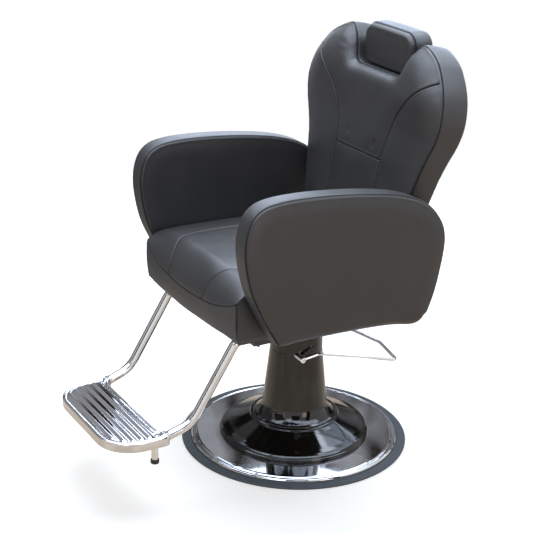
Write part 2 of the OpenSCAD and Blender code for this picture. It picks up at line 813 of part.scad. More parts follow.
module hinge_pins() {
    far = hinge_x + 2 * hinge_t + 1;
    color(steel) pair() {
        along_x(hinge_x - 8, pivot_y, pivot_z) cylinder(r = pin_r, h = far - hinge_x + 8);
        along_x(far, pivot_y, pivot_z) cylinder(r = pin_r + 4, h = 4);
    }
}

module lever_bracket() {
    color(steel) difference() {
        translate([-foot_x - 12, lever_y - 15, lever_z - 13])
            cube([10, 30, board_z - bracket_t - lever_z + 13]);
        along_x(-foot_x - 13, lever_y, lever_z) cylinder(r = lever_r + run_gap, h = 20);
    }
}

module recline_handle() {
    color(chrome) bent_bar([[-lever_inner_x, lever_y, lever_z], [-lever_x, lever_y, lever_z],
        [-lever_x, lever_tip[0], lever_tip[1]]], [0, 20, 0], lever_r);
}

module recline_grip() {
    tip = [-lever_x, lever_tip[0], lever_tip[1]];
    dir = unit([0, lever_y - lever_tip[0], lever_z - lever_tip[1]]);
    color(gloss_black) multmatrix(pose([1, 0, 0], cross(dir, [1, 0, 0]), dir, tip)) rotate_extrude()
        polygon(concat([[0, -grip_r]], [for (a = [15:15:90]) [grip_r * sin(a), -grip_r * cos(a)]],
            [[grip_r, grip_l - 3], [grip_r - 3, grip_l], [lever_r, grip_l], [lever_r, 0], [0, 0]]));
}

module strut_mount() {
    color(steel) translate([strut_x - 11, rail_front, strut_z - 12])
        cube([22, strut_front - rail_front, crossbar_z - strut_z + 12]);
}

module along_y(x, y, z) {
    translate([x, y, z]) rotate([-90, 0, 0]) children();
}

module strut_cylinder() {
    color(gloss_black) difference() {
        along_y(strut_x, strut_front, strut_z) cylinder(r = strut_r, h = strut_rear - strut_front);
        along_y(strut_x, strut_front + 30, strut_z)
            cylinder(r = strut_rod_r + 2, h = strut_rear - strut_front - 40);
        along_y(strut_x, strut_rear - 20, strut_z) cylinder(r = strut_rod_r + run_gap, h = 21);
    }
}

module strut_rod() {
    hole = crank_pin_r + eye_clear;
    color(chrome) difference() {
        union() {
            along_y(strut_x, -40, strut_z) cylinder(r = strut_rod_r, h = crank_y + 40 - hole - 0.5);
            along_x(strut_x - eye_w / 2, crank_y, strut_z) cylinder(r = hole + 3, h = eye_w);
        }
        along_x(strut_x - eye_w, crank_y, strut_z) cylinder(r = hole, h = 2 * eye_w);
    }
}

module torsion_tube() {
    color(steel) difference() {
        along_x(-hinge_x, pivot_y, pivot_z) cylinder(r = tube_r, h = 2 * hinge_x);
        along_x(-hinge_x - 1, pivot_y, pivot_z) cylinder(r = pin_r + run_gap, h = 2 * hinge_x + 2);
    }
}

module crank_plate(x) {
    side = [cos(recline / 2), sin(recline / 2)];
    top = [pivot_y, pivot_z];
    foot = [crank_y, crank_z];
    color(steel) along_yz(x, 4) difference() {
        union() {
            translate(top) circle(tube_r + 5);
            translate(foot) circle(crank_pin_r + 5);
            polygon([top + side * 12, top - side * 12, foot - side * 8, foot + side * 8]);
        }
        translate(top) circle(tube_r);
        translate(foot) circle(crank_pin_r);
    }
}

module strut_crank() {
    crank_plate(strut_x - 9);
    crank_plate(strut_x + 5);
}

module crank_pin() {
    color(steel) along_x(strut_x - 9, crank_y, crank_z) cylinder(r = crank_pin_r, h = 18);
}

// ---- back ----------------------------------------------------------------------------------

// Half width of the back at evenly spaced heights from its bottom to the top of its lobes
back_shape = [184, 202, 210, 222, 236, 249, 261, 273, 290, 310, 320, 315, 296, 260, 206];
back_top = 329;
lobe_peak = 170;
lobe_foot = 260;
lobe_start = back_top - 47;
function lobe(s) = let (q = max(0, min(1, (s - lobe_start) / (back_top - lobe_start))))
    lobe_peak + (lobe_foot - lobe_peak) * pow(1 - pow(q, 1.3), 0.75);
function back_half(s) = back_w / 2 / max(back_shape) * (s > lobe_start ? lobe(s)
    : along(back_shape, 14 * (s - back_bottom) / (back_top - back_bottom)));
back_levels = concat([back_bottom, back_bottom + 14],
    [for (i = [1:11]) mix(back_bottom + 14, -22, i / 11)], [0, 22],
    [for (i = [1:10]) mix(22, lobe_start, i / 10)],
    [for (q = [0.34, 0.62, 0.82, 0.94, 1]) mix(lobe_start, back_top, q)]);

// Places children on the front plane of the leaning back
module on_back() {
    translate([0, lumbar_y, lumbar_z]) rotate([-back_lean, 0, 0]) children();
}

// How far the middle and the sewn edge stand in front of the back's plane, at the same heights
face_level = [-6, -4, -3.5, -3.5, -3.5, -3.5, -3, -1, 3, 8, 14, 19, 21, 16, 2];
edge_level = [-14, -13, -13, -13, -13, -13, -13, -12, -9, -6, -3, -2, -3, -6, -10];

module back_outline(low, e) {
    side = [for (s = back_levels) if (s > low + 1 && s < back_top - e - 1) [back_half(s) - e, s]];
    polygon(concat([[back_half(low) - e, low]], side,
        [[back_half(back_top - e) - e, back_top - e], [-back_half(back_top - e) + e, back_top - e]],
        [for (p = reversed(side)) [-p[0], p[1]]], [[-back_half(low) + e, low]]));
}

// Half of the notch: floor, round corner and a wall that flares out to the lobe
notch_side = [[-37, 0], [-29, 1.5], [-22, 5], [-16, 10.5], [-12, 18], [-6, 34], [0, 52], [9, 68],
    [19, 81], [28, 90], [35, 96], [40, 101]];

module notch_outline() {
    side = [for (p = notch_side) [notch_w / 2 + p[0], notch_floor + p[1]]];
    top = [notch_w / 2 + 40, back_top + 20];
    polygon(concat(side, [top, [-top[0], top[1]]], [for (p = reversed(side)) [-p[0], p[1]]]));
}

// Extrudes an (x, s) outline from the depth d over t
module in_depth(d, t) {
    translate([0, d + t, 0]) rotate([90, 0, 0]) linear_extrude(t) children();
}

// Seam from the waist out to the shoulder, as a half width at the height s
princess_low = [100, 103, 106, 109, 112, 116, 122, 133, 155, 200, 300];
function princess(s) = along(princess_low, 10 * max(0, min(1, (s + 322) / 560)));
function back_cols(s) = let (w = back_half(s), seam = min(princess(s), w * 0.9)) concat(
    [for (f = [1, 0.965, 0.8, 0.5, 0.18]) -mix(seam, w, f)], [for (f = [1, 0.86, 0.5]) -seam * f],
    [0], [for (f = [0.5, 0.86, 1]) seam * f], [for (f = [0.18, 0.5, 0.8, 0.965, 1]) mix(seam, w, f)]);
function back_share(s) = (s - back_bottom) / (back_top - back_bottom);
function back_puff(x, s) = let (u = 14 * back_share(s))
    mix(along(edge_level, u), along(face_level, u), pow(max(0, 1 - pow(x / back_half(s), 4)), 0.6));
function back_crown(x, s) = let (seam = princess(s), inside = abs(back_share(s) - 0.5) < 0.47,
    dip = seam < back_half(s) * 0.88 && abs(abs(x) - seam) < 2 ? seam_depth : 0,
    waist = abs(s) < 2 && abs(x) < seam + 1 ? seam_depth : 0)
    back_puff(x, s) - (inside ? dip + waist : 0);

module back_cushion() {
    grid = [for (s = back_levels) [for (x = back_cols(s)) [x, s, back_crown(x, s)]]];
    rim = rim_of(grid);
    color(vinyl) on_back() difference() {
        rotate([90, 0, 0]) pad(grid, [
            [for (p = rim) [p[0] * 1.008, p[1] + 3 * sign(p[1]), -24]],
            [for (p = rim) [p[0], p[1], -board_d]]]);
        in_depth(-30, board_d + 60) notch_outline();
    }
}

module back_board() {
    color(plywood) on_back() in_depth(board_d, back_board_t) difference() {
        intersection() {
            back_outline(back_bottom, board_margin);
            translate([-back_w, back_bottom]) square([2 * back_w, board_high - back_bottom]);
        }
        translate([-bar_w / 2 - socket_wall - loose, board_high - bar_l])
            square([bar_w + 2 * socket_wall + 2 * loose, bar_l + 1]);
    }
}

module back_rear_panel() {
    color(vinyl) on_back() difference() {
        in_depth(board_d, back_t - board_d) difference() {
            back_outline(panel_bottom, 1);
            notch_outline();
        }
        in_depth(board_d - 1, back_board_t + 1 + loose) intersection() {
            back_outline(panel_bottom - 5, board_margin - loose);
            translate([-back_w, panel_bottom - 5])
                square([2 * back_w, board_high - panel_bottom + 5 + loose]);
        }
        in_depth(bar_d - bar_t / 2 - socket_wall - loose, bar_t + 2 * socket_wall + 2 * loose)
            translate([-bar_w / 2 - socket_wall - loose, board_high - 40])
                square([bar_w + 2 * socket_wall + 2 * loose, notch_floor - board_high + 60]);
    }
}

arm_flange_w = 40;
arm_flange_t = 4;
flange_low = back_bottom + 6;
flange_high = panel_bottom - 4;
back_screw_s = [flange_low + 14, flange_high - 14];
back_screw_x = hinge_x - 18;

module hinge_arms() {
    d0 = board_d + back_board_t;
    d1 = d0 + arm_flange_t;
    color(steel) on_back() pair() difference() {
        union() {
            translate([hinge_x, 0, 0]) rotate([90, 0, 90]) linear_extrude(hinge_t) difference() {
                union() {
                    translate([pivot_d, pivot_s]) circle(eye_r);
                    polygon([[pivot_d + 2, pivot_s - 17], [d1 + 18, flange_low - 6],
                        [d1 + 18, flange_high - 16], [d1 + 4, flange_high], [d0, flange_high],
                        [d0, back_bottom - 1], [pivot_d - 6, pivot_s + 16]]);
                }
                translate([pivot_d, pivot_s]) circle(pin_r + run_gap);
            }
            translate([hinge_x - arm_flange_w + hinge_t, d0, flange_low])
                cube([arm_flange_w, arm_flange_t, flange_high - flange_low]);
        }
        for (s = back_screw_s) translate([back_screw_x, d0 - 1, s]) rotate([-90, 0, 0])
            cylinder(r = screw_r + loose, h = arm_flange_t + 2, $fn = 24);
    }
}

module back_screws() {
    d1 = board_d + back_board_t + arm_flange_t;
    color(steel) on_back() pair() for (s = back_screw_s)
        translate([back_screw_x, d1, s]) rotate([90, 0, 0])
            hex_bolt(screw_r + 3, 4, screw_r, arm_flange_t - 0.2);
}

module headrest_socket() {
    w = bar_w / 2 + socket_wall;
    t = bar_t / 2 + socket_wall;
    color(steel) on_back() difference() {
        translate([-w, bar_d - t, notch_floor - socket_l]) cube([2 * w, 2 * t, socket_l]);
        translate([-bar_w / 2 - loose, bar_d - bar_t / 2 - loose, notch_floor - socket_l - 1])
            cube([bar_w + 2 * loose, bar_t + 2 * loose, socket_l + 2]);
    }
}

// ---- headrest ------------------------------------------------------------------------------

foot_t = 3;

module headrest_bar() {
    color(chrome) on_back() translate([-bar_w / 2, bar_d - bar_t / 2, notch_floor - bar_l])
        cube([bar_w, bar_t, head_s - foot_t - loose - notch_floor + bar_l]);
}

module headrest_foot() {
    color(steel) on_back() translate([-60, bar_d - 16, head_s - foot_t - loose]) cube([120, 32, foot_t]);
}

head_corner = 22;
head_points = [for (q = [0:3]) for (a = [0:15:90]) let (sx = q == 0 || q == 3 ? 1 : -1,
    sy = q < 2 ? 1 : -1) [sx * (head_w / 2 - head_corner) + head_corner * cos(a + 90 * q),
    sy * (head_h / 2 - head_corner) + head_corner * sin(a + 90 * q)]];

module headrest_cushion() {
    crown = 7;
    color(vinyl) on_back() translate([0, head_d + head_t / 2, head_s + head_h / 2])
        rotate([90, 0, 0]) pillow(head_points, [0, 0], head_t / 2 - crown, crown, 0.01);
}

// ---- assembly ------------------------------------------------------------------------------

base_ring();
floor_plate();
base_plate();
bell_cover();
column_cover();
column_collar();
pump_cylinder();
flange_bolts();
pump_head();
guide_bush();
head_seal();
ram_wiper();
pivot_grommets();
pedal_shaft();
pedal_rod();
pump_rocker();
ram();
thrust_bearing();
spindle_nut();
swivel_plate();
plate_bolts();
frame_rails();
frame_crossbars();
seat_board();
board_screws();
seat_cushion();
left_arm();
right_arm();
arm_brackets();
bracket_screws();
left_foot_tube();
right_foot_tube();
foot_sockets();
foot_plate();
foot_pegs();
peg_tips();
foot_screws();
hinge_brackets();
hinge_pins();
lever_bracket();
strut_mount();
strut_cylinder();
strut_rod();
recline_handle();
recline_grip();
hinge_arms();
torsion_tube();
strut_crank();
crank_pin();
back_board();
back_screws();
back_cushion();
back_rear_panel();
headrest_socket();
headrest_bar();
headrest_foot();
headrest_cushion();
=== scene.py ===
"""Hydraulic barber chair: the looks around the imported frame.

Shapes are written in millimetres in the frame of the CAD part: +Z up, the sitter faces -Y and the
sitter's left is +X. They become metres when a mesh is made.
"""

import json
import math
import random

import bmesh
import bpy
import numpy as np
from mathutils import Matrix, Vector, geometry

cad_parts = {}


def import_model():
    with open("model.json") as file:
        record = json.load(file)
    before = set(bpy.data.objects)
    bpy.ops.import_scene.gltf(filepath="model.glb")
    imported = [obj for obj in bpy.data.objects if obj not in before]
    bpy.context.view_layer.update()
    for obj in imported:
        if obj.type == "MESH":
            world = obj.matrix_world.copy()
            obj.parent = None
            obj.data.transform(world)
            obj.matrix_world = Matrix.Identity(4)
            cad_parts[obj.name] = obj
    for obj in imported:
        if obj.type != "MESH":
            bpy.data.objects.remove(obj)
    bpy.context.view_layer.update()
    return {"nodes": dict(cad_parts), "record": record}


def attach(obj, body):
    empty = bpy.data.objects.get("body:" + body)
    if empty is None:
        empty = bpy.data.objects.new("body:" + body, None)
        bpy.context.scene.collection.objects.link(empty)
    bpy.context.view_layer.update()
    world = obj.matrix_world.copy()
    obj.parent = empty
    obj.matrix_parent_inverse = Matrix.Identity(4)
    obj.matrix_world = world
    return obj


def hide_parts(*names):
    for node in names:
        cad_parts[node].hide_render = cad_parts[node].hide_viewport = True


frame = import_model()
MM = 0.001

# ---- camera --------------------

CAMERA_PLACE = (3.08154, -1.91467, 1.92526)
CAMERA_AZIMUTH = 59.56
CAMERA_ELEVATION = 21.17
CAMERA_ROLL = 1.30
CAMERA_LENS = 94.27


def place_in_scene(name, data):
    """A new object for the data, in the scene."""
    thing = bpy.data.objects.new(name, data)
    bpy.context.scene.collection.objects.link(thing)
    return thing


def add_camera():
    """The photograph's view: azimuth from -Y towards +X, looking back along it."""
    azimuth, elevation, roll = map(math.radians, (CAMERA_AZIMUTH, CAMERA_ELEVATION, CAMERA_ROLL))
    flat = math.cos(elevation)
    back = Vector((flat * math.sin(azimuth), -flat * math.cos(azimuth), math.sin(elevation)))
    level = Vector((0, 0, 1)).cross(back).normalized()
    right = Matrix.Rotation(roll, 3, back) @ level
    turn = Matrix((right, back.cross(right), back)).transposed()
    data = bpy.data.cameras.new("camera")
    data.lens = CAMERA_LENS
    data.sensor_width = 36
    data.clip_end = 50
    camera = place_in_scene("camera", data)
    camera.matrix_world = Matrix.Translation(CAMERA_PLACE) @ turn.to_4x4()
    bpy.context.scene.camera = camera


add_camera()

# ---- plane geometry --------------------


def resample(line, step, closed=False):
    """The line with points at even spacing, near step."""
    line = ring(line) if closed else np.asarray(line, float)
    run = run_along(line)
    count = max(2, int(round(run[-1] / step)) + (0 if closed else 1))
    at = np.linspace(0, run[-1], count, endpoint=not closed)
    return np.stack([np.interp(at, run, line[:, i]) for i in range(line.shape[1])], 1)


def ring(line):
    """The line with its first point again at its end."""
    line = np.asarray(line, float)
    return np.vstack([line, line[:1]])


def run_along(line):
    """Distance run along the line at each of its points."""
    return np.r_[0, np.cumsum(np.linalg.norm(np.diff(line, axis=0), axis=1))]


def unit(rows):
    """The rows at unit length."""
    return rows / np.maximum(np.linalg.norm(rows, axis=1), 1e-9)[:, None]


# How many points are measured against a line at once
CHUNK = 4000


def smooth_loop(knots, count):
    """Points on a closed smooth curve through evenly numbered knots."""
    knots = np.asarray(knots, float)
    u = np.arange(count) * len(knots) / count
    i = u.astype(int)
    t = (u - i)[:, None]
    a, b, c, d = (knots[(i + k) % len(knots)] for k in (-1, 0, 1, 2))
    return spline(a, b, c, d, t)


def spline(a, b, c, d, t):
    """The curve from b to c that also heeds a and d, at the share t."""
    return 0.5 * (
        2 * b + (c - a) * t + (2 * a - 5 * b + 4 * c - d) * t**2 + (3 * b - a - 3 * c + d) * t**3
    )


def along(knots, u):
    """Value at u on a smooth curve through knots numbered from 0."""
    knots = np.asarray(knots, float)
    u = np.clip(np.asarray(u, float), 0, len(knots) - 1)
    i = np.minimum(u.astype(int), len(knots) - 2)
    a, b, c, d = (knots[np.clip(i + k, 0, len(knots) - 1)] for k in (-1, 0, 1, 2))
    return spline(a, b, c, d, u - i)


def near(points, line, closed=False):
    """For each point: distance to the line, run along it there, and side (+1 is left of it)."""
    line = ring(line) if closed else np.asarray(line, float)
    start, way = line[:-1], np.diff(line, axis=0)
    size = np.maximum((way**2).sum(1), 1e-9)
    run = np.r_[0, np.cumsum(np.sqrt(size))]
    found = np.empty((3, len(points)))
    for i in range(0, len(points), CHUNK):
        p = np.asarray(points[i : i + CHUNK], float)
        away = p[:, None] - start[None]
        t = np.clip((away * way).sum(2) / size, 0, 1)
        gap = away - t[..., None] * way
        d = np.sqrt((gap**2).sum(2))
        k = d.argmin(1)
        row = np.arange(len(p))
        g = gap[row, k]
        side = np.sign(way[k, 0] * g[:, 1] - way[k, 1] * g[:, 0])
        found[:, i : i + CHUNK] = d[row, k], run[k] + t[row, k] * np.sqrt(size[k]), side
    return found


def inside(points, outline):
    """Which points lie inside the closed outline."""
    x, y = np.asarray(points, float).T
    found = np.zeros(len(x), bool)
    for (ax, ay), (bx, by) in zip(outline, np.roll(outline, -1, 0)):
        if ay != by:
            crosses = (ay > y) != (by > y)
            found ^= crosses & (x < ax + (y - ay) * (bx - ax) / (by - ay))
    return found


def normals_of(line, closed=False):
    """Unit vectors to the left of the line at its points."""
    line = np.asarray(line, float)
    way = unit(np.roll(line, -1, 0) - np.roll(line, 1, 0) if closed else np.gradient(line, axis=0))
    return np.stack([-way[:, 1], way[:, 0]], 1)


def arc(a, b, c, steps):
    """Points on a round from a to c that is pulled towards b."""
    turns = [k / steps for k in range(steps + 1)]
    return [(1 - t) ** 2 * a + 2 * t * (1 - t) * b + t * t * c for t in turns]


def offset(line, gap, closed=False):
    """The line moved sideways, to its left where the gap is positive."""
    return np.asarray(line) + gap * normals_of(line, closed)


def rounded_corner(points, radii, steps):
    """An open line with its inner corners rounded, to one radius for each point."""
    points = [np.array(p, float) for p in points]
    out = [points[0]]
    for a, b, c, r in zip(points, points[1:], points[2:], radii[1:]):
        before, after = np.linalg.norm(b - a), np.linalg.norm(c - b)
        d, e = (b - a) / before, (c - b) / after
        turn = math.acos(np.clip(d @ e, -1, 1))
        cut = min(r * math.tan(turn / 2), 0.48 * min(before, after))
        out += arc(b - d * cut, b, b + e * cut, steps)
    out.append(points[-1])
    return np.array(out)


EDGE_ROWS = (1.1, 2.4, 4.6, 6.4, 7.5, 8.6, 10.6, 14, 19, 25)
SEAM_ROWS = (1.0, 2.1, 3.3, 4.5, 5.6, 7.6, 10.5)


def triangles(points, edges):
    """Triangles over plane points that keep the edges: new points, faces and their sources."""
    points = [Vector(p) for p in points]
    made, _, faces, sources, _, _ = geometry.delaunay_2d_cdt(points, edges, [], 1, 1e-6)
    return made, faces, sources


def round_edges(n):
    """Pairs of neighbours round a loop of n points."""
    return [(i, (i + 1) % n) for i in range(n)]


def fill(loop):
    """Faces that fill a closed loop of plane points."""
    n = len(loop)
    _, faces, _ = triangles(loop, round_edges(n))
    return [f for f in faces if max(f) < n]


def edge_points(outline, seams, gaps):
    """Rows of points inside the outline, at the gaps from it."""
    rows = []
    for gap in gaps:
        row = resample(offset(outline, gap, True), 5 if gap < 12 else 7, True)
        keep = (near(row, outline, True)[0] > 0.9 * gap) & inside(row, outline)
        for seam in seams:
            keep &= near(row, seam)[0] > 1
        rows.append(row[keep])
    return rows


def seam_points(outline, seams, gaps):
    """Rows of points on both sides of each seam, at the gaps from it."""
    rows = []
    for index, seam in enumerate(seams):
        for gap in gaps:
            for side in (1, -1):
                row = resample(offset(seam, side * gap), 5 if gap < 8 else 6)
                keep = inside(row, outline) & (near(row, outline, True)[0] > 1)
                keep &= near(row, seam)[0] > 0.9 * gap
                for other in seams[:index]:
                    keep &= near(row, other)[0] > 1
                rows.append(row[keep])
    return rows


def open_points(outline, seams, step, edge_gap, seam_gap):
    """A triangular grid of points over what the rows leave open."""
    low, high = outline.min(0), outline.max(0)
    ys = np.arange(low[1] + step / 2, high[1], step * 0.87)
    xs = np.arange(low[0], high[0], step)
    grid = np.array([(x + (j % 2) * step / 2, y) for j, y in enumerate(ys) for x in xs])
    grid = grid[inside(grid, outline)]
    keep = near(grid, outline, True)[0] > edge_gap
    for seam in seams:
        keep &= near(grid, seam)[0] > seam_gap
    return grid[keep]


def panel(outline, seams=(), step=7.0, edge_rows=EDGE_ROWS):
    """Points and triangles that fill a counter-clockwise outline, whose own points come first.

    Rows of points follow the outline and each seam, so that folds along them come out clean."""
    n = len(outline)
    lines = list(outline)
    edges = round_edges(n)
    for seam in seams:
        first = len(lines)
        lines += list(seam)
        edges += [(first + i, first + i + 1) for i in range(len(seam) - 1)]
    loose = edge_points(outline, seams, edge_rows) + seam_points(outline, seams, SEAM_ROWS)
    edge_gap, seam_gap = edge_rows[-1] + 0.5 * step, SEAM_ROWS[-1] + 0.4 * step
    loose.append(open_points(outline, seams, step, edge_gap, seam_gap))
    made, faces, origin = triangles(np.vstack([np.array(lines)] + loose), edges)
    order = {source: k for k, sources in enumerate(origin) for source in sources}
    first = [order[i] for i in range(n)]
    taken = set(first)
    kept = first + [k for k in range(len(made)) if k not in taken]
    place = {k: i for i, k in enumerate(kept)}
    return np.array([made[k] for k in kept]), [tuple(place[k] for k in f) for f in faces]


# ---- meshes --------------------


def crease_shade_share(data, sewn):
    """How deep each vertex lies in a crease, which sets the painted shade there: 0 on open surfaces, 1
    at the bottom of a fold.

    sewn lists (first vertex, shares) of the vertices along sewn edges, which get at least that share of
    painted shade."""
    points = read_values(data.vertices, "co", 3)
    normals = read_values(data.vertices, "normal", 3)
    ends = read_values(data.edges, "vertices", 2, int)
    rise, count = np.zeros(len(points)), np.zeros(len(points))
    for a, b in (ends.T, ends.T[::-1]):
        way = points[b] - points[a]
        length = np.maximum(np.linalg.norm(way, axis=1), 1e-6)
        np.add.at(rise, a, np.clip((way * normals[a]).sum(1) / length, 0, 1))
        np.add.at(count, a, 1)
    share = np.clip((rise / np.maximum(count, 1) - CREASE_SHADE_START) / CREASE_SHADE_SPAN, 0, 1)
    for start, shares in sewn:
        stop = start + len(shares)
        share[start:stop] = np.maximum(share[start:stop], shares)
    spread = share.copy()
    close = ends[np.linalg.norm(points[ends[:, 0]] - points[ends[:, 1]], axis=1) < CREASE_SHADE_REACH]
    for a, b in (close.T, close.T[::-1]):
        np.maximum.at(spread, a, CREASE_SHADE_PASSED_ON * share[b])
    return spread


# Mean slope up to the neighbours where a crease's painted shade starts, and from there to its full depth
CREASE_SHADE_START, CREASE_SHADE_SPAN = 0.11, 0.3
# Neighbours closer than this many metres take on this share of a crease's painted shade
CREASE_SHADE_REACH, CREASE_SHADE_PASSED_ON = 0.0026, 0.6


def read_values(items, name, width, kind=float):
    """A value of a mesh's vertices or edges, one row for each."""
    values = np.empty(width * len(items), kind)
    items.foreach_get(name, values)
    return values.reshape(-1, width)


def add_mesh(name, points, faces, material, sewn=()):
    """A smooth mesh object from points in millimetres, with its normals turned outwards."""
    data = bpy.data.meshes.new(name)
    data.from_pydata((np.asarray(points) * MM).tolist(), [], [list(map(int, f)) for f in faces])
    data.validate()
    work = bmesh.new()
    work.from_mesh(data)
    bmesh.ops.recalc_face_normals(work, faces=work.faces)
    work.to_mesh(data)
    work.free()
    data.materials.append(material)
    data.shade_smooth()
    # The fold attribute drives the painted shade that the vinyl gets inside creases
    crease_shade = data.attributes.new("fold", "FLOAT", "POINT")
    crease_shade.data.foreach_set("value", crease_shade_share(data, sewn))
    return place_in_scene(name, data)


def add_piece(name, points, faces, material, body, slot, *nodes, sewn=()):
    """A mesh that rides on a body and stands for CAD nodes."""
    piece = add_mesh(name, points, faces, material, sewn)
    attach(piece, body)
    if nodes:
        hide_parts(*nodes)
    return piece


def facing(place, points):
    """Positions of the points on a surface, and the surface's unit normals there."""
    step = 0.5
    du = place(points + [step, 0]) - place(points - [step, 0])
    dv = place(points + [0, step]) - place(points - [0, step])
    return place(points), unit(np.cross(du, dv))


def tube_faces(rings, sides):
    """Faces of a tube from rings of points, capped at both ends."""
    faces = []
    for r in range(rings - 1):
        low, high = r * sides, (r + 1) * sides
        faces += [(low + k, low + m, high + m, high + k) for k, m in round_edges(sides)]
    faces.append(tuple(reversed(range(sides))))
    last = (rings - 1) * sides
    faces.append(tuple(range(last, last + sides)))
    return faces


def circle(middle, r, across, up, sides):
    """Points round a circle in space."""
    turns = [2 * math.pi * k / sides for k in range(sides)]
    return [middle + r * (math.cos(a) * across + math.sin(a) * up) for a in turns]


def closed_skin(top, top_faces, loops, under, under_faces):
    """One mesh: a top face, loops of points down its sides, and an under face.

    top and under start with the same number of edge points, one for one with every loop."""
    n = len(loops[0])
    points = [top] + list(loops) + [under]
    starts = np.cumsum([0] + [len(p) for p in points])
    rings = [np.arange(n) + s for s in starts[:-1]]
    faces = [tuple(f) for f in top_faces]
    for a, b in zip(rings, rings[1:]):
        for k in range(n):
            m = (k + 1) % n
            faces.append((a[k], b[k], b[m], a[m]))
    faces += [tuple(starts[-2] + i for i in reversed(f)) for f in under_faces]
    return np.vstack(points), faces


def bump(t, centre, width):
    """A bell curve of height 1."""
    return np.exp(-(((t - centre) / width) ** 2))


def step_up(t, a, b):
    """A smooth step from 0 at a to 1 at b."""
    q = np.clip((t - a) / (b - a), 0, 1)
    return q * q * (3 - 2 * q)


def rounded(gap, reach):
    """A quarter circle that rises from 0 at an edge to 1 at the reach."""
    return np.sqrt(1 - (1 - np.clip(gap / reach, 0, 1)) ** 2)


# Width and height of the lap beside a topstitched seam
SEAM_LAP = 4.5
LAP_H = 1.3


def lapped(t, wide=SEAM_LAP, deep=3.2):
    """Relief across a topstitched seam: a fold at 0, the raised lap, and the stitches' groove."""
    lap = LAP_H * step_up(t, 0.2, 1.8) * (1 - step_up(t, wide + 0.6, wide + 2.8))
    return lap - deep * bump(t, 0, 1.2) - 0.8 * bump(t, wide, 0.8) * (t > 0)


def ripple(points, seed, pitch, size):
    """Gentle unevenness of stuffed material: a sum of long waves in fixed random directions."""
    draw = random.Random(seed)
    total = np.zeros(len(points))
    for _ in range(7):
        angle = draw.uniform(0, math.pi)
        wave = pitch * draw.uniform(0.7, 1.6)
        shift = draw.uniform(0, 2 * math.pi)
        run = points[:, 0] * math.cos(angle) + points[:, 1] * math.sin(angle)
        total += np.sin(2 * math.pi * run / wave + shift)
    return size * total / 7


def puckers(run, gap, seed, pitch, reach, size):
    """Small pulls across a seam, at uneven spacing along its run, fading with the gap."""
    draw = random.Random(seed)
    wave = sum(
        np.sin(2 * math.pi * run / (pitch * draw.uniform(0.7, 1.5)) + draw.uniform(0, 6))
        for _ in range(3)
    )
    return size * wave / 3 * np.exp(-gap / reach) * step_up(gap, 0.5, 5)


STITCH = 3.6
STITCH_PITCH = 5.2
THREAD_R = 0.42
THREAD_SIDES = 6
# One stitch: (share of its length, height over the cover, share of the thread's radius)
STITCH_RINGS = (
    (0.0, -0.35, 0.45), (0.16, 0.2, 0.95), (0.5, 0.38, 1.0), (0.84, 0.2, 0.95), (1.0, -0.35, 0.45),
)


class Sewing:
    """Collects the thread of one cushion and makes it one mesh."""

    def __init__(self):
        self.points, self.faces = [], []

    def add(self, starts, ends, ups):
        """Thread dashes that dip into the cover at both ends."""
        dash = tube_faces(len(STITCH_RINGS), THREAD_SIDES)
        for a, b, up in zip(starts, ends, ups):
            way = b - a
            way /= max(np.linalg.norm(way), 1e-9)
            across = np.cross(up, way)
            base = len(self.points)
            self.faces += [tuple(base + i for i in f) for f in dash]
            for t, lift, size in STITCH_RINGS:
                middle = a + (b - a) * t + up * lift
                self.points += circle(middle, THREAD_R * size, across, up, THREAD_SIDES)

    def row(self, surface, line, closed=False):
        """Stitches along a line on a surface, which gives positions and normals of plane points."""
        dots = resample(line, STITCH_PITCH, closed)
        way = np.roll(dots, -1, 0) - dots
        if not closed:
            way[-1] = way[-2]
        a, up = surface(dots)
        b, _ = surface(dots + unit(way) * STITCH)
        self.add(a, b, up)

    def band_row(self, band, w, keep=None):
        """Stitches on a side band, w from its rim, where keep(place on the rim) is true."""
        n = len(band.rim)
        run = run_along(ring(band.rim))
        marks = np.arange(0, run[-1] - STITCH_PITCH, STITCH_PITCH)
        if keep is not None:
            marks = marks[keep(np.interp(marks, run, np.arange(n + 1)).astype(int) % n)]
        wide = np.full(len(marks), float(w))
        a, up = band.at(np.interp(marks, run, np.arange(n + 1)), wide)
        b, _ = band.at(np.interp(marks + STITCH, run, np.arange(n + 1)), wide)
        self.add(a, b, up)

    def make(self, name, body):
        add_piece(name, np.array(self.points), self.faces, thread, body, "vinyl")


class Band:
    """The side band of a cushion, from its front seam (w = 0) to its far edge (w = full)."""

    def __init__(self, rim, out, down, full, lift):
        self.rim, self.out, self.down, self.full, self.lift = rim, out, down, full, lift

    def at(self, k, w):
        """Positions and outward directions at places k on the rim, w down from it."""
        n = len(self.rim)
        low = np.floor(k).astype(int)
        t = k - low
        a, b = low % n, (low + 1) % n

        def between(values):
            share = t[:, None] if values.ndim == 2 else t
            return values[a] * (1 - share) + values[b] * share

        full, out = between(self.full), between(self.out)
        lift = self.lift(k % n, w, full)
        return between(self.rim) + between(self.down) * w[:, None] + out * lift[:, None], out

    def loops(self, near_rim, shares, near_end):
        """Loops of points: at fixed gaps from the rim, at shares of the width, at gaps from its end."""
        k = np.arange(len(self.rim), dtype=float)
        widths = [np.full(len(k), float(w)) for w in near_rim]
        first, last = near_rim[-1], near_end[0]
        widths += [first + (self.full - first - last) * share for share in shares]
        widths += [self.full - w for w in near_end]
        return [self.at(k, w)[0] for w in widths]


NEAR_RIM = (1.0, 2.2, 3.6, 5.4, 7.0, 8.2, 11.5)
MIDDLE = (0.12, 0.26, 0.4, 0.55, 0.7, 0.84, 0.94)
NEAR_END = (9, 4.5, 2, 0.6)


# ---- materials --------------------


def new_material(name):
    """A material, its node tree and its Principled shader."""
    material = bpy.data.materials.new(name)
    material.use_nodes = True
    tree = material.node_tree
    return material, tree, next(n for n in tree.nodes if n.type == "BSDF_PRINCIPLED")


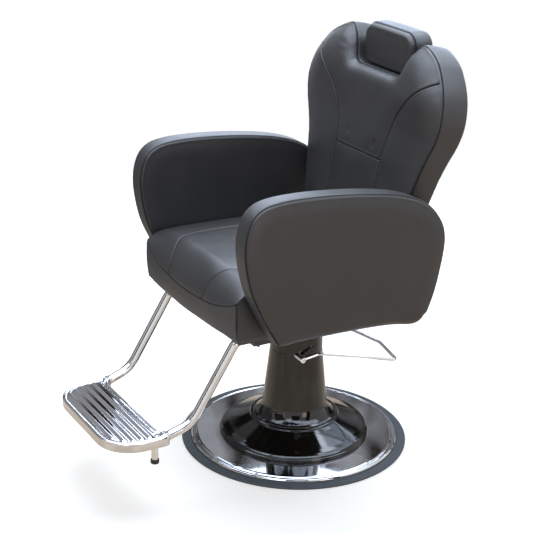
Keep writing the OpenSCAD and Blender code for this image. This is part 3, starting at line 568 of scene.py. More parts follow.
def feed(tree, node, inputs):
    """Sets the node's inputs to values, or links them to the outputs of other nodes."""
    for name, value in inputs.items():
        if isinstance(value, bpy.types.NodeSocket):
            tree.links.new(value, node.inputs[name])
        else:
            node.inputs[name].default_value = value


def add_node(tree, kind, inputs, output=0, **settings):
    """A shader node with its settings and inputs; gives one of its outputs."""
    node = tree.nodes.new("ShaderNode" + kind)
    for name, value in settings.items():
        setattr(node, name, value)
    feed(tree, node, inputs)
    return node.outputs[output]


def noise(tree, scale, detail=3.0, rough=0.5, stretch=(1, 1, 1)):
    """Noise over the piece's own coordinates; scale is in waves per metre."""
    place = add_node(tree, "TexCoord", {}, "Object")
    place = add_node(tree, "Mapping", {"Vector": place, "Scale": stretch})
    numbers = {"Vector": place, "Scale": scale, "Detail": detail, "Roughness": rough}
    return add_node(tree, "TexNoise", numbers, "Fac")


def ramp(tree, source, stops):
    """Colours or greys over a factor; stops are (position, colour)."""
    node = tree.nodes.new("ShaderNodeValToRGB")
    node.color_ramp.elements[0].position = stops[0][0]
    node.color_ramp.elements[-1].position = stops[-1][0]
    while len(node.color_ramp.elements) < len(stops):
        node.color_ramp.elements.new(stops[len(node.color_ramp.elements) - 1][0])
    for element, (position, colour) in zip(node.color_ramp.elements, stops):
        element.position = position
        element.color = (*colour, 1)
    tree.links.new(source, node.inputs["Fac"])
    return node.outputs["Color"]


def chromed(name, low, high):
    """Polished metal with faint smudges between two tints."""
    rough = ((60, 5.0, 0.65), (0.35, grey(0.035)), (0.75, grey(0.10)))
    tint = ((9, 4.0, 0.6), (0.3, low), (0.7, high))
    return mottled(name, tint, rough, ((24, 2.0), 0.0006, 0.10), 1.0)


def satin(name, low, high, rough_low, rough_high, metallic=0.0):
    """Painted, moulded or turned parts: mottled colour, uneven polish and a fine grit."""
    rough = ((200, 3.0), (0.3, grey(rough_low)), (0.7, grey(rough_high)))
    tint = ((40, 4.0, 0.6), (0.3, low), (0.7, high))
    return mottled(name, tint, rough, ((700, 2.0), 0.00015, 0.5), metallic)


VINYL_TINT = ((0.3, (0.029, 0.028, 0.0285)), (0.7, (0.036, 0.0345, 0.035)))
WOOD_GRAIN = (26, 4.0, 0.6, (1, 9, 30))
WOOD_TINT = ((0.3, (0.36, 0.22, 0.11)), (0.5, (0.52, 0.35, 0.19)), (0.7, (0.60, 0.43, 0.26)))


def grey(v):
    return (v, v, v)


def add_bump(tree, shader, height, distance, strength):
    """Adds relief to the shader, on top of what it has."""
    numbers = {"Height": height, "Distance": distance, "Strength": strength}
    last = shader.inputs["Normal"].links
    if last:
        numbers["Normal"] = last[0].from_socket
    feed(tree, shader, {"Normal": add_node(tree, "Bump", numbers)})


def inside_fold(tree, fold, open_value, deep_value):
    """A value of the open surface that changes to another one inside the creases."""
    inputs = {"Factor": fold, 6: open_value, 7: (*deep_value, 1)}
    return add_node(tree, "Mix", inputs, 2, data_type="RGBA")


def vinyl_material():
    """Grained black vinyl with painted shade inside its folds: darker colour and a lower specular level,
    and duller there too.
    """
    material, tree, shader = new_material("vinyl")
    fold = add_node(tree, "Attribute", {}, "Fac", attribute_name="fold")
    tint = ramp(tree, noise(tree, 3.0, 2.0), VINYL_TINT)
    rough = ramp(tree, noise(tree, 14.0, 4.0, 0.6), [(0.3, grey(0.40)), (0.7, grey(0.48))])
    looks = {
        # Painted shade: the colour turns near black and the specular level drops where the fold
        # attribute marks a crease
        "Base Color": inside_fold(tree, fold, tint, (0.006, 0.006, 0.0065)),
        "Roughness": inside_fold(tree, fold, rough, grey(0.85)),
        "Specular IOR Level": ramp(tree, fold, [(0.0, grey(0.5)), (0.8, grey(0.1))]),
    }
    feed(tree, shader, looks)
    cells = {"Vector": add_node(tree, "TexCoord", {}, "Object"), "Scale": 620}
    grain = add_node(tree, "TexVoronoi", cells, "Distance", feature="DISTANCE_TO_EDGE")
    add_bump(tree, shader, ramp(tree, grain, [(0.0, grey(0)), (0.16, grey(1))]), 0.00012, 0.35)
    add_bump(tree, shader, noise(tree, 210, 3.0), 0.0005, 0.16)
    return material


def mottled(name, tint, rough, relief=None, metallic=0.0, specular=0.5):
    """A material whose colour, roughness and bump each follow a noise.

    tint and rough are (the noise's numbers, ramp stops), and relief is (the noise's numbers,
    distance, strength). rough may be one number for all of the surface."""
    material, tree, shader = new_material(name)
    if not isinstance(rough, float):
        rough = ramp(tree, noise(tree, *rough[0]), rough[1:])
    tint = ramp(tree, noise(tree, *tint[0]), tint[1:])
    looks = {"Base Color": tint, "Roughness": rough, "Metallic": metallic}
    feed(tree, shader, {**looks, "Specular IOR Level": specular})
    if relief:
        add_bump(tree, shader, noise(tree, *relief[0]), *relief[1:])
    return material


vinyl = vinyl_material()
thread = mottled("thread", ((900, 2.0), (0.35, grey(0.012)), (0.65, (0.026, 0.026, 0.028))), 0.7)
# Three tones of the same chrome: plate_chrome and shaded_chrome are dimmer copies whose darker tone is
# painted shade, standing in for darker surroundings in their reflections
chrome = chromed("chrome", (0.74, 0.745, 0.755), (0.83, 0.835, 0.845))
plate_chrome = chromed("plate_chrome", (0.62, 0.625, 0.635), (0.72, 0.725, 0.74))
shaded_chrome = chromed("shaded_chrome", (0.50, 0.505, 0.515), (0.62, 0.625, 0.64))
gloss_black = mottled(
    "gloss_black",
    ((6, 3.0), (0.3, (0.0035, 0.003, 0.0025)), (0.7, (0.006, 0.0052, 0.0042))),
    ((45, 5.0, 0.7), (0.4, grey(0.07)), (0.8, grey(0.16))),
    ((30, 2.0), 0.0005, 0.10),
    specular=0.55,
)
rubber = satin("rubber", (0.030, 0.036, 0.043), (0.040, 0.047, 0.056), 0.62, 0.78)
black_rubber = satin("black_rubber", grey(0.006), grey(0.011), 0.45, 0.6)
stained = satin("stained_plywood", grey(0.018), (0.03, 0.028, 0.026), 0.6, 0.75)
FINISHES = {
    "vinyl": vinyl,
    "chrome": chrome,
    "gloss_black": gloss_black,
    "rubber": rubber,
    "steel": satin("black_steel", grey(0.030), (0.042, 0.042, 0.045), 0.38, 0.52),
    "bronze": satin("bronze", (0.45, 0.28, 0.12), (0.60, 0.40, 0.20), 0.20, 0.34, 1.0),
    "plywood": mottled("plywood", (WOOD_GRAIN, *WOOD_TINT), 0.62, (WOOD_GRAIN, 0.0004, 0.4)),
}
OWN_FINISHES = {"pivot_grommets": black_rubber, "back_board": stained, "seat_board": stained}


def finish_cad_nodes():
    """Gives every CAD node the material of its record slot, or one of its own."""
    for part in frame["record"]["subparts"]:
        name = part["node"]
        slots = frame["nodes"][name].data.materials
        slots.clear()
        slots.append(OWN_FINISHES.get(name, FINISHES[part["material_slot"]]))


finish_cad_nodes()

# ---- back --------------------

BACK_LEAN = math.radians(12.7)
LOBE_RISE = 47
LUMBAR_Y, LUMBAR_Z = 177, 838
BACK_BOTTOM, BACK_TOP = -326, 329
# Half widths at even steps from the bottom to the top
BACK_SHAPE = [184, 202, 210, 222, 236, 249, 261, 273, 290, 310, 320, 315, 296, 260, 206]
LOBE_FOOT, LOBE_PEAK, LOBE_START = 260, 170, BACK_TOP - LOBE_RISE
NOTCH_FLOOR, NOTCH_D = 228, -12
# The notch from its middle out to the top, as places across and above its floor
NOTCH_SIDE = [
    (0, 0), (90, 0), (98, 1.5), (105, 5), (111, 10.5), (115, 18), (121, 34), (127, 52), (136, 68),
    (146, 81), (155, 90), (162, 96), (167, 101),
]
CUSHION_D, BACK_D = 66, 86
PANEL_BOTTOM = -250
PRINCESS = [
    (-326, 98), (-150, 104), (-66, 106), (-34, 106), (4, 107), (24, 109), (64, 120), (97, 129),
    (134, 147), (152, 164), (195, 206), (224, 243), (258, 292), (266, 304),
]
# Places across and up, and depths, of two dents above the lumbar seam
DENTS = ((-58, 44, 2.6), (66, 34, 3.8))
# Starts, ends, widths and depths of the shallow creases
CREASES = (
    ((62, 42), (78, 48), 3, 1.6), ((60, 26), (70, 22), 3, 1.4),
    ((-132, 262), (-178, 276), 5, 1.5), ((-130, 250), (-170, 248), 5, 1.2),
)
# How far from the edges the stuffing rolls down to the seams
BACK_ROLL, NOTCH_ROLL = 84, 36
REAR_ROWS = (1.5, 4, 8, 13, 16.5, 19, 22, 24, 26, 29)
# Heights out of the back's plane at even steps from the bottom to the top
MIDDLE_LEVEL = [-6, -4, -3.5, -3.5, -3.5, -3.5, -2, 0, 1.5, 4, 8.5, 13, 15, 15, 15]
WING_LEVEL = [-6, -4.5, -4.5, -4.5, -5, -5, -3, 0, 1.5, 4, 12.5, 24, 27, 24, 8]
EDGE_LEVEL = [-14, -13, -13, -13, -13, -13, -13, -12, -9, -6, -3, -2, -3, -6, -10]
EDGE_LAP = 6.0


def smoothed(line, passes, closed=False):
    """The line with its points drawn towards their neighbours."""
    line = np.array(line, float)
    for _ in range(passes):
        soft = 0.25 * np.roll(line, 1, 0) + 0.5 * line + 0.25 * np.roll(line, -1, 0)
        if not closed:
            soft[[0, -1]] = line[[0, -1]]
        line = soft
    return line


PRINCESS_LINE = smoothed(resample(PRINCESS, 5), 40)


def back_share(s):
    """Share of the way up the back at the height s."""
    return np.clip((np.asarray(s, float) - BACK_BOTTOM) / (BACK_TOP - BACK_BOTTOM), 0, 1)


def back_half(s):
    """Half width of the back at the height s."""
    low = along(BACK_SHAPE, 14 * back_share(s))
    q = np.clip((np.asarray(s, float) - LOBE_START) / (BACK_TOP - LOBE_START), 0, 1)
    top = LOBE_PEAK + (LOBE_FOOT - LOBE_PEAK) * (1 - q**1.3) ** 0.75
    return np.where(s > LOBE_START, top, low)


def princess(s):
    """Half width between the two long seams at the height s."""
    return np.interp(s, PRINCESS_LINE[:, 0], PRINCESS_LINE[:, 1])


def back_world(x, s, h):
    """Places across, up and out of the back's front plane in the frame."""
    sin, cos = math.sin(BACK_LEAN), math.cos(BACK_LEAN)
    return np.stack([x, LUMBAR_Y - h * cos + s * sin, LUMBAR_Z + h * sin + s * cos], 1)


def back_way(x, s, h):
    """Directions across, up and out of the back's front plane in the frame."""
    return back_world(x, s, h) - [0, LUMBAR_Y, LUMBAR_Z]


def back_depth(s):
    """Depth of the upholstery: down to the board below, and over it higher up."""
    return CUSHION_D + (BACK_D - CUSHION_D) * step_up(s, PANEL_BOTTOM - 4, PANEL_BOTTOM + 10)


def back_outline():
    """The back's outline with its notch, counter-clockwise from the bottom centre."""
    crest = BACK_TOP - LOBE_RISE * (1 - np.linspace(0.02, 1, 26)) ** 2.2
    rise = np.r_[np.linspace(BACK_BOTTOM, LOBE_START, 90), crest]
    side = np.stack([back_half(rise), rise], 1)
    notch = np.array(NOTCH_SIDE[::-1]) + [0, NOTCH_FLOOR]
    right = np.vstack([[(0, BACK_BOTTOM)], side, notch])
    left = right[::-1] * [-1, 1]
    return smoothed(resample(np.vstack([right, left[1:-1]]), 5, True), 2, True)


def split_rim(outline):
    """The outline's two open parts: round the outside, and round the notch."""
    notch = (np.abs(outline[:, 0]) < LOBE_PEAK - 4) & (outline[:, 1] > NOTCH_FLOOR - 3)
    at = np.flatnonzero(notch)
    return np.vstack([outline[at[-1] + 1 :], outline[: at[0]]]), outline[at]


def back_seams():
    """Two seams from the waist to the shoulders and one across the small of the back."""
    s, half = PRINCESS_LINE.T
    keep = (half < back_half(s) - 2.5) & (s > BACK_BOTTOM + 2)
    run = np.stack([half, s], 1)[keep]
    reach = float(princess(0)) - 1.6
    across = resample([(-reach, 0), (reach, 0)], 5)
    return [resample(run, 5), resample(run * [-1, 1], 5), across]


def back_height(p, outside, notch):
    """How far the stuffed front stands out of its plane; it rolls down to its sewn edge."""
    x, s = np.abs(p[:, 0]), p[:, 1]
    u = 14 * back_share(s)
    middle, wing, sewn = (along(k, u) for k in (MIDDLE_LEVEL, WING_LEVEL, EDGE_LEVEL))
    face = middle + (wing - middle) * step_up(x / princess(s), 0.25, 1.05)
    outer = np.clip(near(p, outside)[0] / BACK_ROLL, 0, 1)
    h = face - (face - sewn) * (1 - outer) ** 2
    return h - (h - NOTCH_D) * (1 - rounded(near(p, notch)[0], NOTCH_ROLL))


def crease(p, start, end, wide, size):
    """A shallow crease between two places, fading at its ends."""
    start, end = np.array(start, float), np.array(end, float)
    way = end - start
    t = np.clip((p - start) @ way / (way @ way), 0, 1)
    gap = np.linalg.norm(p - start - t[:, None] * way, axis=1)
    return -size * np.exp(-((gap / wide) ** 2)) * (0.15 + 0.85 * np.sin(math.pi * t))


def back_relief(p, outline, seams):
    """Seams, puckers, pulls and dents of the back's front cover."""
    edge, run, _ = near(p, outline, True)
    outer = step_up(near(p, split_rim(outline)[1])[0], 8, 40)
    h = (0.15 + 0.6 * outer) * lapped(edge, EDGE_LAP, 3.0) - 1.0 * np.exp(-edge / 9)
    h += puckers(run, edge, 3, 30, 20, 0.5) + (1 - outer) * puckers(run, edge, 9, 12, 9, 1.1)
    ends = step_up(edge, 0, 5)
    for k, seam in enumerate(seams):
        gap, run, side = near(p, seam)
        h += ends * (lapped(gap * side, SEAM_LAP, 3.0) - 1.4 * np.exp(-gap / 12))
        h += puckers(run, gap, 5 + k, 26, 18, 0.45)
    h += ripple(p, 11, 120, 0.9)
    for x, s, size in DENTS:
        h -= size * np.exp(-(((p[:, 0] - x) / 5) ** 2) - ((p[:, 1] - s) / 7) ** 2)
    return h + sum(crease(p, *numbers) for numbers in CREASES)


def build_back():
    outline = back_outline()
    outside, notch = split_rim(outline)
    seams = back_seams()

    def place(p):
        return back_world(p[:, 0], p[:, 1], back_height(p, outside, notch))

    def surface(p):
        here, normal = facing(place, p)
        return here + normal * back_relief(p, outline, seams)[:, None], normal

    flat, faces = panel(outline, seams)
    top, _ = surface(flat)
    out = -normals_of(outline, True)
    edge_h = back_height(outline, outside, notch) + back_relief(outline, outline, seams)
    none = 0 * edge_h
    swell = np.where(near(outline, notch)[0] < 1, 0.4, 1.6)
    run = 5.0 * np.arange(len(outline))

    def lift(k, w, full):
        i = k.astype(int)
        arch = np.sin(math.pi * np.clip(w / full, 0, 1))
        bulge = swell[i] * arch**0.7 - 1.4 * bump(full - w, 0, 2.0)
        return bulge + 0.5 * np.sin(run[i] / 37.0 + 0.03 * w) * arch + 1.3 * step_up(w, 0, 3.4)

    band = Band(
        back_world(outline[:, 0], outline[:, 1], edge_h),
        back_way(out[:, 0], out[:, 1], none),
        back_way(none, none, none - 1),
        back_depth(outline[:, 1]) + edge_h,
        lift,
    )

    def rear(p):
        gap, s = near(p, outline, True)[0], p[:, 1]
        h = 2.6 * rounded(gap, 30) - 1.3
        h += np.where(s > PANEL_BOTTOM + 12, lapped(24 - gap) - 0.8 * bump(gap, 0, 2), 0)
        h += ripple(p, 23, 160, 0.7)
        return back_world(p[:, 0], s, -back_depth(s) - np.where(s > PANEL_BOTTOM + 6, h, 0))

    rear_flat, rear_faces = panel(outline, (), 9.0, REAR_ROWS)
    loops = band.loops(NEAR_RIM, MIDDLE, NEAR_END)
    points, skin = closed_skin(top, faces, loops, rear(rear_flat), rear_faces)
    sewn = np.ones(len(outline))
    # The sewn rims get the full painted crease shade
    shaded_rims = ((0, sewn), (len(points) - len(rear_flat), sewn))
    nodes = ("back_cushion", "back_rear_panel")
    cushion = add_piece("back_upholstery", points, skin, vinyl, "back", "vinyl", *nodes, sewn=shaded_rims)

    sewing = Sewing()
    for seam in seams:
        row = offset(seam, SEAM_LAP)
        sewing.row(surface, row[(near(row, outline, True)[0] > 3) & inside(row, outline)])
    sewing.row(surface, resample(offset(outline, EDGE_LAP, True), 5, True), True)
    sewing.make("back_stitching", "back")


build_back()

# ---- arms --------------------

ARM_SHAPE = [
    (0.31, 0.054), (0.185, 0.045), (0.155, 0.09), (0.093, 0.25), (0.03, 0.46), (0.0, 0.70),
    (0.015, 0.87), (0.065, 0.965), (0.16, 1.0), (0.33, 1.0), (0.54, 0.973), (0.73, 0.925),
    (0.87, 0.85), (0.955, 0.74), (1.0, 0.59), (0.985, 0.36), (0.945, 0.14), (0.885, 0.005),
    (0.73, 0.03), (0.52, 0.048),
]
ARM_X = 298.5
ARM_FRONT, ARM_Z, ARM_L, ARM_H = -353, 439, 604, 405
ARM_SEAM = 27.5
ARM_LAP = 6.5
ARM_NEAR = (1.0, 2.2, 3.8, 5.4, 6.5, 7.6, 10)
# Crown of the outer and inner face over the seam, and how far from the edge it is reached
ARM_OUTER, ARM_INNER, ARM_ROLL = 8.0, 4.5, 48


def arm_outline():
    """The arm's outline in (y, z), counter-clockwise seen from +X."""
    shape = smooth_loop(ARM_SHAPE, 400) * [ARM_L, ARM_H] + [ARM_FRONT, ARM_Z]
    return resample(shape[::-1], 5, True)


def build_arm(name, side, seed):
    outline = arm_outline()
    n = len(outline)
    sewn = step_up(outline[:, 1], ARM_Z + 14, ARM_Z + 32)

    def height(p, crown):
        gap, run, _ = near(p, outline, True)
        seam = sewn[np.clip((run / 5).astype(int), 0, n - 1)]
        roll = 1 - (1 - np.clip(gap / ARM_ROLL, 0, 1)) ** 2.2
        h = ARM_SEAM + crown * roll + 1.0 * step_up(gap, 40, 150)
        h += seam * (0.8 * bump(gap, 5, 4) - 3.0 * bump(gap, 0, 1.3))
        h -= (1 - seam) * 9 * (1 - np.clip(gap / 16, 0, 1)) ** 2.2
        h += seam * puckers(run, gap, seed, 34, 16, 0.4)
        return h + ripple(p, seed, 150, 0.8)

    def world(h, p):
        return np.column_stack([side * (ARM_X + h), p])

    def lift(k, w, full):
        i = k.astype(int) % n
        near_edge = np.minimum(w, full - w)
        flat_band = 1.8 * np.sin(math.pi * np.clip(w / full, 0, 1)) ** 0.6
        lap = 1.2 * step_up(near_edge, 0, 3) + 0.4 * lapped(near_edge, ARM_LAP, 0)
        return flat_band + sewn[i] * lap + (1 - sewn[i]) * 6.5 * (rounded(near_edge, 12) - 1)

    flat, faces = panel(outline, (), 8.0)
    outer = world(height(flat, ARM_OUTER), flat)
    inner = world(-height(flat, ARM_INNER), flat)
    edge = height(outline, ARM_OUTER)
    out = np.column_stack([np.zeros(n), -normals_of(outline, True)])
    down = np.tile([-side, 0.0, 0.0], (n, 1))
    band = Band(world(edge, outline), out, down, 2 * edge, lift)
    loops = band.loops(ARM_NEAR, (0.2, 0.4, 0.6, 0.8), ARM_NEAR[::-1])
    points, skin = closed_skin(outer, faces, loops, inner, faces)
    if side < 0:
        skin = [f[::-1] for f in skin]
    # The sewn part of both rims gets painted crease shade
    shaded_rims = ((0, sewn), (len(points) - len(flat), sewn))
    whole = name + "_upholstery"
    cushion = add_piece(whole, points, skin, vinyl, "seat", "vinyl", name, sewn=shaded_rims)

    sewing = Sewing()
    for w in (ARM_LAP, 2 * ARM_SEAM - ARM_LAP):
        sewing.band_row(band, w, lambda k: sewn[k] > 0.6)
    sewing.make(name + "_stitching", "seat")


build_arm("left_arm", 1, 31)
build_arm("right_arm", -1, 47)

# ---- headrest --------------------

HEAD_W, HEAD_H, HEAD_CORNER = 228, 117, 37
HEAD_Y, HEAD_Z = 292, 1111
# In front and behind: depth of the seam, the roll's rise beside it, and the middle's over it
HEAD_FRONT, HEAD_REAR = (20, 12, 12.5), (45, 5, 6)
# How far from the seam the roll reaches, and the share of its arch that is used
HEAD_ROLL, HEAD_ARCH = 27, 0.62
# The rear edge is rounded inwards by this much, over this much of the side
HEAD_ROUND, HEAD_ROUND_RUN = 11, 20


def rounded_box(w, h, r):
    """A counter-clockwise rectangle of half sizes w and h with corners rounded to r."""
    points = []
    for x, y, start in ((1, -1, -90), (1, 1, 0), (-1, 1, 90), (-1, -1, 180)):
        for k in range(9):
            a = math.radians(start + 90 * k / 8)
            points.append((x * (w - r) + r * math.cos(a), y * (h - r) + r * math.sin(a)))
    return np.array(points)


def build_headrest():
    """The headrest's cushion, which stands upright in front of the sloping back."""
    outline = resample(rounded_box(HEAD_W / 2, HEAD_H / 2, HEAD_CORNER), 4, True)
    outline[:, 1] += 3.0 * np.clip(outline[:, 1] / HEAD_H, 0, 1) * (1 - (outline[:, 0] / 112) ** 2)
    n = len(outline)

    def height(p, seam, roll, middle):
        gap, run, _ = near(p, outline, True)
        h = seam + roll * np.sin(math.pi * np.clip(gap / HEAD_ROLL, 0, HEAD_ARCH)) ** 0.8
        rest = middle - roll * math.sin(math.pi * HEAD_ARCH) ** 0.8
        h += rest * step_up(gap, 0.55 * HEAD_ROLL, 1.25 * HEAD_ROLL)
        h += -3.0 * bump(gap, 0, 1.3) + puckers(run, gap, 71, 22, 12, 0.7)
        return h + ripple(p, 73, 90, 0.6)

    def world(h, p):
        return np.stack([p[:, 0], HEAD_Y - h, HEAD_Z + p[:, 1]], 1)

    def lift(k, w, full):
        near_edge = np.minimum(w, full - w)
        bulge = 1.5 * np.sin(math.pi * np.clip(w / full, 0, 1)) ** 0.6
        bulge = bulge + HEAD_ROUND * (rounded(full - w, HEAD_ROUND_RUN) - 1)
        return bulge + 1.2 * step_up(near_edge, 0, 3) + 0.4 * lapped(near_edge, ARM_LAP, 0)

    flat, faces = panel(outline, (), 6.0)
    out = -normals_of(outline, True)
    out = np.stack([out[:, 0], np.zeros(n), out[:, 1]], 1)
    edge = height(outline, *HEAD_FRONT)
    full = edge + height(outline, *HEAD_REAR)
    band = Band(world(edge, outline), out, np.tile([0.0, 1.0, 0.0], (n, 1)), full, lift)
    loops = band.loops(ARM_NEAR, (0.25, 0.5, 0.75), ARM_NEAR[::-1])
    away = np.linalg.norm(flat, axis=1)[:, None]
    shrunk = np.where(away > 30, flat - HEAD_ROUND * flat / away, flat * 19 / 30)
    front = world(height(flat, *HEAD_FRONT), flat)
    rear = world(-height(flat, *HEAD_REAR), shrunk)
    points, skin = closed_skin(front, faces, loops, rear, faces)
    dress = (vinyl, "headrest", "vinyl", "headrest_cushion")
    cushion = add_piece("headrest_upholstery", points, skin, *dress, sewn=((0, np.ones(n)),))

    sewing = Sewing()
    sewing.band_row(band, ARM_LAP)
    sewing.band_row(band, HEAD_FRONT[0] + HEAD_REAR[0] - ARM_LAP)
    sewing.make("headrest_stitching", "headrest")


build_headrest()

# ---- seat --------------------

SEAT_HALF, SEAT_FRONT, SEAT_H = 262, 346, 157
BOARD_Z, BOARD_TOP = 450, 465
BOARD_HALF, BOARD_FRONT, BOARD_REAR = 250, 326, 94
SEAT_SEAM_HALF = [98, 134, 153, 157, 153, 144, 128, 110, 96]
SEAT_V = 560
SEAT_CORNER = 17
# How wide the laps are along the two long seams and down the front corners
SEAT_LAP, CORNER_LAP = 5.0, 6.0
# How far the cover stands past the board that it is pulled round
COVER_OUT = 1.5


def seat_t(v):
    """Share of the way from front to rear at v on the cover."""
    return (np.clip(v, 0, SEAT_V) / SEAT_V) ** 1.35


def seat_place(p):
    """Top of the seat's cover: x across, v along it from the front seam to the rear."""
    x, v = p.T
    t = seat_t(v)
    e = np.clip(np.abs(x) / SEAT_HALF, 0, 1)
    edge = 135 + 2 * np.sin(math.pi * t)
    front = 61 + 45 * e**3
    crown = SEAT_H + 2 + (edge - SEAT_H - 2) * e**2.4
    rise = np.sin(math.pi / 2 * np.clip(t / 0.15, 0, 1)) ** 0.72
    z = BOARD_TOP + front + (crown - 6 * t - front) * rise
    rear = LUMBAR_Y + (z - LUMBAR_Z) * math.tan(BACK_LEAN) - 11
    ahead = -SEAT_FRONT - 16 * (1 - (x / SEAT_HALF) ** 2)
    return np.stack([x, ahead + (rear - ahead) * t, z], 1)


def build_seat():
    outline = rounded_box(SEAT_HALF, SEAT_V / 2, SEAT_CORNER) + [0, SEAT_V / 2]
    outline = resample(outline, 5, True)
    n = len(outline)
    v = np.linspace(1.5, SEAT_V - 1.5, 160)
    half = along(SEAT_SEAM_HALF, 8 * seat_t(v))
    seams = [resample(np.stack([side * half, v], 1), 5) for side in (1, -1)]

    def relief(p):
        edge, run, _ = near(p, outline, True)
        h = -1.8 * bump(edge, 0, 1.5) - 2.4 * np.exp(-edge / 10)
        h += puckers(run, edge, 13, 32, 18, 0.5)
        for k, seam in enumerate(seams):
            gap, run, side = near(p, seam)
            t = gap * side * (-1, 1)[k]
            h += step_up(edge, 0, 5) * (0.8 * lapped(t, SEAT_LAP) - 3.2 * np.exp(-gap / 16))
            h += puckers(run, gap, 17 + k, 28, 18, 0.5)
        return h + ripple(p, 19, 130, 1.2)

    def surface(p):
        here, normal = facing(seat_place, p)
        return here + normal * relief(p)[:, None], normal

    flat, faces = panel(outline, seams)
    top, _ = surface(flat)
    rim = top[:n]
    plan = rim[:, :2]
    out = -normals_of(plan, True)
    run = run_along(ring(plan))
    spots = [plan - [-turn * SEAT_HALF, -SEAT_FRONT] for turn in (-1, 1)]
    corners = [(run[np.argmin((away**2).sum(1))], turn) for away, turn in zip(spots, (-1, 1))]

    def lift(k, w, full):
        here = np.interp(k, np.arange(n + 1), run)
        share = np.clip(w / full, 0, 1)
        pull = -4.5 * share**1.5 + 3.2 * np.sin(math.pi * share) ** 0.8
        seam = 0
        for spot, turn in corners:
            t = (here - spot) * turn
            lap = lapped(t, CORNER_LAP) - 1.0 * np.exp(-np.abs(t) / 12)
            seam = seam + lap * step_up(w, 0, 4)
        return pull + seam + lapped(w, ARM_LAP, 0) * 0.9

    down = np.tile([0.0, 0.0, -1.0], (n, 1))
    band = Band(rim, np.column_stack([out, np.zeros(n)]), down, rim[:, 2] - BOARD_TOP, lift)
    loops = band.loops(NEAR_RIM, MIDDLE, NEAR_END)
    last = loops[-1][:, :2]
    low = [-BOARD_HALF - COVER_OUT, -BOARD_FRONT - COVER_OUT]
    board = np.clip(last, low, [BOARD_HALF + COVER_OUT, BOARD_REAR + COVER_OUT])
    hem = [0.5 * (last + board) + out * 1.5, board, board - out * 1.0]
    for spot, z in zip(hem, (BOARD_TOP - 3.5, BOARD_Z + 2.0, BOARD_Z - 0.4)):
        loops.append(np.column_stack([spot, np.full(n, z)]))
    under_plan = board - out * 4.0
    under = np.column_stack([under_plan, np.full(n, BOARD_Z - 0.6)])
    points, skin = closed_skin(top, faces, loops, under, fill(under_plan))
    dress = (vinyl, "seat", "vinyl", "seat_cushion")
    cushion = add_piece("seat_upholstery", points, skin, *dress, sewn=((0, np.ones(n)),))

    sewing = Sewing()
    for seam, side in zip(seams, (-1, 1)):
        sewing.row(surface, offset(seam, side * SEAT_LAP)[1:-1])
    sewing.band_row(band, ARM_LAP)
    w = np.arange(8, 88, STITCH_PITCH)
    for spot, turn in corners:
        k = np.full(len(w), np.interp(spot + turn * CORNER_LAP, run, np.arange(n + 1)))
        a, up = band.at(k, w)
        b, _ = band.at(k, w + STITCH)
        sewing.add(a, b, up)
    sewing.make("seat_stitching", "seat")


build_seat()

# ---- turned and bent metal --------------------


def soften(points, radii):
    """A closed profile with its corners rounded, and points close beside each round."""
    points = [np.array(p, float) for p in points]
    out = []
    for (i, m), r in zip(round_edges(len(points)), radii):
        corner = points[i]
        if r <= 0:
            out.append(corner)
            continue
        before, after = points[i - 1] - corner, points[m] - corner
        room = 0.48 * min(np.linalg.norm(before), np.linalg.norm(after))
        before /= np.linalg.norm(before)
        after /= np.linalg.norm(after)
        turn = math.pi - math.acos(np.clip(before @ after, -1, 1))
        cut = min(r * math.tan(turn / 2), 0.8 * room)
        beside = min(0.7, 0.15 * room)
        a, c = corner + before * cut, corner + after * cut
        out += [a + before * beside, *arc(a, corner, c, 5), c + after * beside]
    return np.array(out)


def lathe(profile, around):
    """Points and faces of a closed (radius, height) profile turned about the vertical axis."""
    n = len(profile)
    points, faces = [], []
    for k, m in round_edges(around):
        a = 2 * math.pi * k / around
        points += [(r * math.cos(a), r * math.sin(a), z) for r, z in profile]
        faces += [(k * n + i, m * n + i, m * n + j, k * n + j) for i, j in round_edges(n)]
    return np.array(points), faces


def sweep(route, radii, around):
    """Points and faces of a round bar along a route in space, capped at both ends."""
    way = unit(np.gradient(route, axis=0))
    side = np.cross(way[0], [0.3, 0.2, 1.0])
    points = []
    for here, ahead, r in zip(route, way, radii):
        side = side - ahead * (side @ ahead)
        side /= np.linalg.norm(side)
        points += circle(here, r, side, np.cross(ahead, side), around)
    return np.array(points), tube_faces(len(route), around)


def dense(route, step):
    """The route with points added so that none are further apart than the step."""
    route = np.array(route, float)
    out = [route[0]]
    for a, b in zip(route, route[1:]):
        count = max(1, int(np.linalg.norm(b - a) / step))
        out += [a + (b - a) * k / count for k in range(1, count + 1)]
    return np.array(out)


def bar_ends(route, r):
    """Route and radii of a bar whose two ends have a small rounded edge, 1 mm deep."""
    first, last = unit(np.array([route[0] - route[1], route[-1] - route[-2]]))
    apart = [min(np.linalg.norm(p - route[0]), np.linalg.norm(p - route[-1])) for p in route]
    keep = [p for p, gap in zip(route, apart) if gap > 2]
    head = [route[0], route[0] - first * 0.3, route[0] - first]
    tail = [route[-1] - last, route[-1] - last * 0.3, route[-1]]
    ends = [r - 1.0, r - 0.3, r]
    return np.array(head + keep + tail), np.array(ends + [r] * len(keep) + ends[::-1])


def joined(*shapes):
    """Several shapes of points and faces as one."""
    points, faces, base = [], [], 0
    for more, made in shapes:
        points.append(more)
        faces += [tuple(base + i for i in f) for f in made]
        base += len(more)
    return np.vstack(points), faces


def both_sides(points, faces):
    """The shape and its mirror image across the middle, as one mesh."""
    return joined((points, faces), (points * [-1, 1, 1], [f[::-1] for f in faces]))


def turned(profile, radii, around=192):
    """Points and faces of a profile with rounded corners, turned about the vertical axis."""
    return lathe(soften(profile, radii), around)


# ---- base and column --------------------

